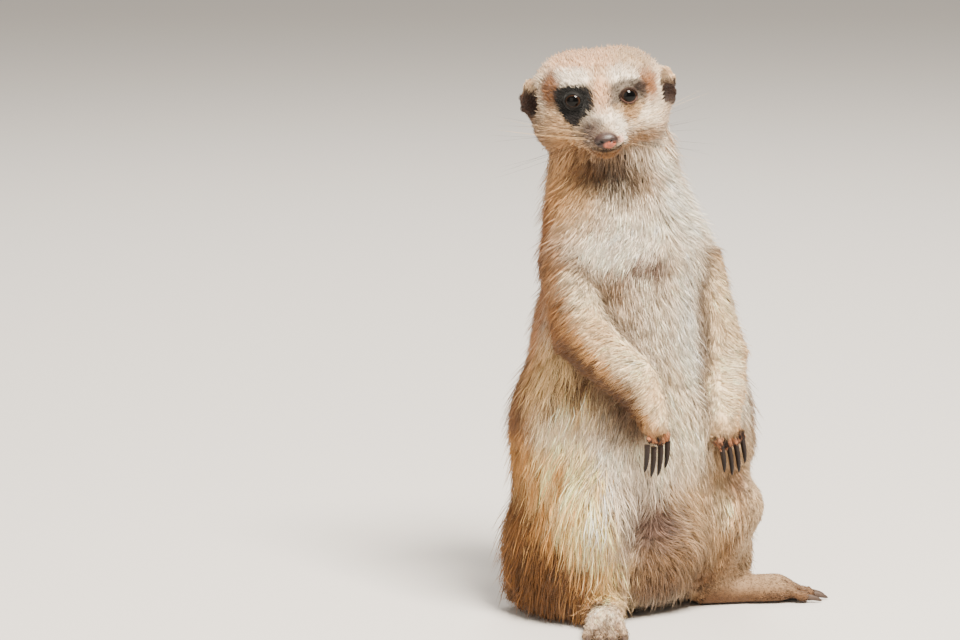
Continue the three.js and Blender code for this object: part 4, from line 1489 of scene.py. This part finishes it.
def bare_skin(surface):
    """1 where no hair grows: the lids' edge, the nose, between the lips, and what rests on the floor."""
    points = surface.points
    bare = ((surface.normals()[:, 2] < -0.75) & (points[:, 2] < 7)).astype(float)
    for side in SIDES:
        distance, angle, edge = eye_angles(side, points)
        bare = np.maximum(bare, (angle - edge < 0.13) & (distance < EYE_R + 2.5))
    above, here = mouth_distance(points)
    bare = np.maximum(bare, (np.abs(above) < 0.5) & (here > 0.5))
    inside_nose = np.linalg.norm((to_face(points) - to_face(NOSE)) / [5.7, 4.6, 4.0], axis=1) < 1
    return np.maximum(bare, inside_nose)


def make_body():
    """The skin with its lids, then the coat and the whiskers that grow from it."""
    surface, weights, lying = make_skin()
    print("scene: skin", len(surface.points), "points", len(surface.triangles), "triangles")
    rings = [lid_ring(side) for side in SIDES]
    whole = joined([surface, *rings])
    head = np.zeros((sum(len(r.points) for r in rings), len(PARTS)))
    head[:, PARTS.index("head")] = 1
    all_weights = np.concatenate([weights, head])
    colour = coat_colour(whole.points, all_weights)
    thing = new_object("skin", mesh_of("skin", whole.points, whole.triangles))
    give_colours(thing.data, "coat_colour", colour)
    give_values(thing.data, "along", np.full(len(whole.points), 0.4))
    thing.data.materials.append(skin_material())
    uv = skin_uv(thing)
    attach(thing, "root")
    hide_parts(*FLESH)
    make_coat(
        surface, weights, lying, hair_length(surface.points, weights),
        hair_hang(surface.points, weights), uv[: len(surface.triangles)], bare_skin(surface),
    )
    make_whiskers(surface)


# ---------------------------------------------------------------- whiskers
WHISKER_ROWS = 3
WHISKER_COLUMNS = 4
WHISKER_RADIUS = 0.085
WHISKER_STEPS = 12


def whisker_points(root, way, out, length, rng):
    """A whisker's middle line: out from its pad, then sweeping back in a long curve."""
    t = np.linspace(0, 1, WHISKER_STEPS)[:, None]
    droop = rng.uniform(-0.05, 0.12)
    sweep = out * (0.3 * t - 0.1 * t**2) + DOWN * droop * t**2 + FACE_Y * 0.18 * t**2
    return root + length * (way * t + sweep)


def whisker_tube(line):
    """A whisker's rings and its two ends, three-sided and thinner towards the tip."""
    ahead = unit(np.gradient(line, axis=0))
    aside = unit(np.cross(ahead, UP))
    over = np.cross(aside, ahead)
    size = WHISKER_RADIUS * (1 - 0.85 * np.linspace(0, 1, WHISKER_STEPS))
    rings = []
    for k in range(WHISKER_STEPS):
        rings.append(line[k] + size[k] * circle(full_turn(3), aside[k], over[k]))
    last = 3 * (WHISKER_STEPS - 1)
    ends = np.array([(0, 2, 1), (last, last + 1, last + 2)])
    return Surface(np.concatenate(rings), np.concatenate([strip(rings), ends]))


def one_whisker(tree, sign, row, column, rng):
    """The whisker in one place of the pad on one lip."""
    start = from_face((sign * (7.5 + 0.8 * column), -19 + 3.2 * column, -13.5 - 2.4 * row))
    near, normal, _, _ = tree.find_nearest((start + rng.normal(0, 0.4, 3)).tolist())
    rise = 0.16 - 0.17 * row + rng.normal(0, 0.05)
    way = unit(way_from_face((sign * 0.93, 0.22 + 0.05 * column, rise)))
    return whisker_tube(whisker_points(np.array(near), way, np.array(normal), rng.uniform(27, 40), rng))


def make_whiskers(surface):
    """Long fine whiskers from both lips, most of them dark."""
    rng = np.random.default_rng(SEED + 20)
    tree = surface.tree()
    whiskers, shades = [], []
    for sign in SIDES.values():
        for row in range(WHISKER_ROWS):
            for column in range(WHISKER_COLUMNS):
                whiskers.append(one_whisker(tree, sign, row, column, rng))
                shade = SOOT if rng.uniform() < 0.75 else SAND
                shades.append(np.tile(shade, (3 * WHISKER_STEPS, 1)))
    whole = joined(whiskers)
    mesh = mesh_of("whiskers", whole.points, whole.triangles)
    give_colours(mesh, "coat_colour", np.concatenate(shades))
    along = np.repeat(np.linspace(0.4, 1, WHISKER_STEPS), 3)
    give_values(mesh, "along", np.tile(along, len(whiskers)))
    mesh.materials.append(bpy.data.materials["short_fur_finish"])
    piece = new_object("whiskers", mesh)
    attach(piece, "root")


# ---------------------------------------------------------------- eyes, nose and claws
# The eye's colours by the angle off its gaze: pupil, iris, its dark rim, then the white, which is dark too.
IRIS_RINGS = (
    (0.0, (0.001, 0.001, 0.001)),
    (0.44, (0.001, 0.001, 0.001)),
    (0.48, (0.012, 0.006, 0.004)),
    (0.58, (0.03, 0.016, 0.009)),
    (0.65, (0.004, 0.003, 0.003)),
    (0.78, (0.012, 0.008, 0.007)),
)
# Points round a ring, and rings from front to back.
EYE_TURNS, EYE_HEIGHTS = 48, 40
NOSE_TURNS, NOSE_HEIGHTS = 96, 64


def make_eye(side):
    """An eyeball that bulges a little in front. Each vertex keeps its angle off the gaze, for the iris."""
    gaze, outward, upward = eye_axes(side)
    angles = np.linspace(0.001, math.pi - 0.001, EYE_HEIGHTS)
    around = full_turn(EYE_TURNS)
    across = circle(around, outward, upward)
    rings = []
    for angle in angles:
        bulge = EYE_R * (1 + 0.05 * math.exp(-((angle / 0.5) ** 2)))
        rings.append(EYES[side] + bulge * (math.cos(angle) * gaze + math.sin(angle) * across))
    surface = turned_out(Surface(np.concatenate(rings), strip(rings)), EYES[side])
    piece = new_object("eye_ball_" + side, mesh_of("eye_ball_" + side, surface.points, surface.triangles))
    wide = 1 + 0.25 * np.abs(np.cos(np.tile(around, EYE_HEIGHTS)))
    give_values(piece.data, "off_gaze", np.repeat(angles, EYE_TURNS) / wide)
    piece.data.materials.append(eye_material())
    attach(piece, "root")
    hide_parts("eye_" + side)


def eye_material():
    """A black pupil in a dark brown iris, under a wet shine."""
    if "eye_finish" in bpy.data.materials:
        return bpy.data.materials["eye_finish"]
    material, nodes, links, shader = new_material("eye_finish", 0.05, 0.16)
    off = vertex_values(nodes, "off_gaze").outputs["Fac"]
    iris = colour_ramp(nodes, links, off, IRIS_RINGS)
    vary = spread_between(nodes, links, noise_node(nodes, links, 1500, 4.0), 0.6, 1.4)
    links.new(multiply(nodes, links, iris, vary), shader.inputs["Base Color"])
    return material


def nose_colour(local):
    """Dark leather, greyer on top, worn to a pinkish orange low on the left."""
    colour = mix(srgb(40, 24, 21) + 0 * local, srgb(60, 44, 40), smooth_step(0.6, 3.0, local[:, 2]))
    worn = spot(local, (2.4, -3, -1.8), (3.6, 4, 1.8)) * (0.75 + 0.25 * ripple(local, 2.0, SEED + 10))
    return mix(colour, srgb(196, 104, 74), 0.8 * np.clip(worn, 0, 1))


def make_nose():
    """The nose pad: a low rounded wedge, grooved down its middle, with a comma of a nostril each side."""
    across = circle(full_turn(NOSE_TURNS), np.array([1, 0, 0]), UP)
    rings, nostril_shade = [], []
    for angle in np.linspace(0.001, math.pi - 0.001, NOSE_HEIGHTS):
        way = math.sin(angle) * across - math.cos(angle) * np.array([0, 1, 0])
        p = way * NOSE_HALF
        x, z = p[:, 0], p[:, 2]
        narrower = 1 - 0.16 * smooth_step(1.0, -3.6, z)
        p[:, 0] *= narrower
        groove = 0.45 * np.exp(-((x / 0.45) ** 2)) * smooth_step(1.6, -1.4, z)
        hole = np.exp(-(((np.abs(x) - 2.7) / 1.15) ** 2 + ((z + 0.1) / 0.85) ** 2))
        slit = np.exp(-(((np.abs(x) - 4.0) / 1.3) ** 2 + ((z + 0.9) / 0.5) ** 2))
        ahead = way[:, 1] < 0
        sunk = (groove + 1.3 * np.maximum(hole, 0.8 * slit)) * ahead
        p = p - way * sunk[:, None]
        rings.append(p)
        nostril_shade.append(np.maximum(hole, 0.8 * slit) * ahead)
    points = from_face(np.concatenate(rings) + to_face(NOSE))
    surface = turned_out(Surface(points, strip(rings)), NOSE)
    local = to_face(points) - to_face(NOSE)
    # Painted shade inside the nostrils.
    colour = mix(nose_colour(local), srgb(12, 8, 8), np.clip(1.3 * np.concatenate(nostril_shade) - 0.1, 0, 1))
    piece = new_object("nose_pad", mesh_of("nose_pad", points, surface.triangles))
    give_colours(piece.data, "coat_colour", colour)
    piece.data.materials.append(nose_material())
    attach(piece, "root")
    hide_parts("nose")


def nose_material():
    """Damp leather, cobbled like a real nose pad."""
    material, nodes, links, shader = new_material("nose_finish", 0.42, 0.4)
    shader.inputs["Coat Weight"].default_value = 0.2
    shader.inputs["Coat Roughness"].default_value = 0.25
    colour = vertex_values(nodes, "coat_colour").outputs["Color"]
    links.new(colour, shader.inputs["Base Color"])
    cells = nodes.new("ShaderNodeTexVoronoi")
    cells.inputs["Scale"].default_value = 2600
    place = nodes.new("ShaderNodeTexCoord")
    links.new(place.outputs["Object"], cells.inputs["Vector"])
    relief = raise_relief(nodes, links, shader, cells.outputs["Distance"], 0.5, 0.0002)
    relief.invert = True
    return material


def claw_line(node):
    """A claw's middle line, from inside its digit out to its tip."""
    surface = cad_surface(node)
    p = surface.points
    home = centre_of(node.rsplit("_", 1)[0].replace("foreclaw", "hand").replace("hindclaw", "foot"))
    middle = p.mean(0)
    axis = unit(np.linalg.svd(p - middle)[2][0])
    if (middle - home) @ axis < 0:
        axis = -axis
    t = (p - middle) @ axis
    bins = np.linspace(t.min(), t.max(), 6)
    line = [p[(t >= a - 0.3) & (t <= b + 0.3)].mean(0) for a, b in zip(bins[:-1], bins[1:])]
    tip = p[t.argmax()]
    start = p[t < t.min() + 0.8].mean(0)
    radius = np.linalg.norm(p[t < t.min() + 0.8] - start, axis=1).max()
    return start, line[2], tip, radius


CLAW_ROOT = 1.8  # how far a claw's root goes into its digit
CLAW_RINGS = 18
CLAW_SIDES = 14
# The horn's colour at the root and at the tip.
FORE_HORN = ((0.018, 0.011, 0.009), (0.008, 0.006, 0.006))
HIND_HORN = ((0.09, 0.06, 0.045), (0.05, 0.035, 0.03))


def make_claw(node):
    """A curved claw, narrower than it is deep, along its CAD node's middle line."""
    start, bend, tip, radius = claw_line(node)
    back = unit(start - bend)
    first = start + back * CLAW_ROOT
    middle = 2 * bend - (first + tip) / 2
    t = np.linspace(0, 1, CLAW_RINGS)[:, None]
    line = (1 - t) ** 2 * first + 2 * t * (1 - t) * middle + t**2 * tip
    way = unit(np.gradient(line, axis=0))
    plane = unit(np.cross(way[0], way[-1]) + 1e-6 * UP)
    out = unit(np.cross(way, plane))
    rings = []
    for k in range(CLAW_RINGS):
        share = k / (CLAW_RINGS - 1)
        size = radius * 1.12 * (1 - share**2.4) ** 0.75 + 0.06
        rings.append(line[k] + circle(full_turn(CLAW_SIDES), 0.72 * plane, out[k]) * size)
    last = (CLAW_RINGS - 1) * CLAW_SIDES
    ends = [(0, i, i + 1) for i in range(1, CLAW_SIDES - 1)]
    ends += [(last, last + i + 1, last + i) for i in range(1, CLAW_SIDES - 1)]
    name = "horn_" + node
    triangles = np.concatenate([strip(rings), np.array(ends)])
    piece = new_object(name, mesh_of(name, np.concatenate(rings), triangles))
    give_values(piece.data, "along", np.repeat(np.linspace(0, 1, CLAW_RINGS), CLAW_SIDES))
    piece.data.materials.append(claw_material(node.startswith("fore")))
    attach(piece, "root")
    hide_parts(node)


def claw_material(dark):
    """Horn: near black on the hands, browner on the feet, with fine lengthwise wear."""
    name = "claw_finish_fore" if dark else "claw_finish_hind"
    if name in bpy.data.materials:
        return bpy.data.materials[name]
    material, nodes, links, shader = new_material(name, 0.5, 0.22)
    along = vertex_values(nodes, "along").outputs["Fac"]
    base, tip = FORE_HORN if dark else HIND_HORN
    horn = colour_ramp(nodes, links, along, ((0.0, base), (1.0, tip)))
    wear = noise_node(nodes, links, 900, 5.0)
    vary = spread_between(nodes, links, wear, 0.6, 1.5)
    links.new(multiply(nodes, links, horn, vary), shader.inputs["Base Color"])
    raise_relief(nodes, links, shader, wear, 0.25, 0.0001)
    return material


# ---------------------------------------------------------------- floor, light and camera
AZIMUTH = math.radians(-30)
ELEVATION = math.radians(10)
LENS = 200.0
DISTANCE = 2.5
# Where the frame's origin falls in the picture, from its left and its top edge.
SEAT_ACROSS = 0.6583
SEAT_DOWN = 0.9547
FRAME_ASPECT = 2 / 3
FIGURE_MIDDLE = Vector((0, 0, 0.13))
FLOOR_HALF = 12


def make_camera():
    """The camera at the photo's angle, with the frame's origin where the photo has it in the picture."""
    back = Vector((
        math.sin(AZIMUTH) * math.cos(ELEVATION),
        -math.cos(AZIMUTH) * math.cos(ELEVATION),
        math.sin(ELEVATION),
    ))
    right = Vector((math.cos(AZIMUTH), math.sin(AZIMUTH), 0))
    up = back.cross(right)
    data = bpy.data.cameras.new("camera")
    data.lens = LENS
    data.sensor_width = 36
    wide = DISTANCE * data.sensor_width / LENS
    target = -right * (SEAT_ACROSS - 0.5) * wide + up * (SEAT_DOWN - 0.5) * wide * FRAME_ASPECT
    camera = new_object("camera", data)
    camera.location = FIGURE_MIDDLE + back * DISTANCE
    camera.rotation_mode = "QUATERNION"
    camera.rotation_quaternion = (target - camera.location).to_track_quat("-Z", "Y")
    bpy.context.scene.camera = camera


def make_floor():
    """A wide, plain, pale floor."""
    mesh = bpy.data.meshes.new("floor")
    corners = [(x * FLOOR_HALF, y * FLOOR_HALF, 0) for x, y in ((-1, -1), (1, -1), (1, 1), (-1, 1))]
    mesh.from_pydata(corners, [], [(0, 1, 2, 3)])
    floor = new_object("floor", mesh)
    material, _, _, shader = new_material("floor_finish", 0.9, 0.2)
    shader.inputs["Base Color"].default_value = (0.62, 0.60, 0.58, 1)
    mesh.materials.append(material)


def area_light(name, place, size, power, colour):
    """A square light that faces the middle of the figure."""
    data = bpy.data.lights.new(name, "AREA")
    data.size = size
    data.energy = power
    data.color = colour
    light = new_object(name, data)
    light.location = place
    light.rotation_mode = "QUATERNION"
    light.rotation_quaternion = (FIGURE_MIDDLE - light.location).to_track_quat("-Z", "Y")


def make_light():
    """A soft key light from above, a weaker one from the side, one from behind, and a pale room."""
    area_light("key", (0.0, -1.0, 1.75), 0.7, 172, (1, 0.91, 0.78))
    area_light("fill", (-1.5, -0.7, 0.8), 1.4, 13, (1, 0.88, 0.74))
    area_light("rim", (0.6, 1.1, 1.3), 0.8, 26, (1, 0.95, 0.88))
    world = bpy.data.worlds.new("studio")
    world.use_nodes = True
    world.node_tree.nodes["Background"].inputs["Color"].default_value = (0.9, 0.84, 0.76, 1)
    world.node_tree.nodes["Background"].inputs["Strength"].default_value = 0.5
    bpy.context.scene.world = world


make_body()
for side in SIDES:
    make_eye(side)
make_nose()
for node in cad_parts:
    if "claw" in node:
        make_claw(node)
make_floor()
make_light()
make_camera()
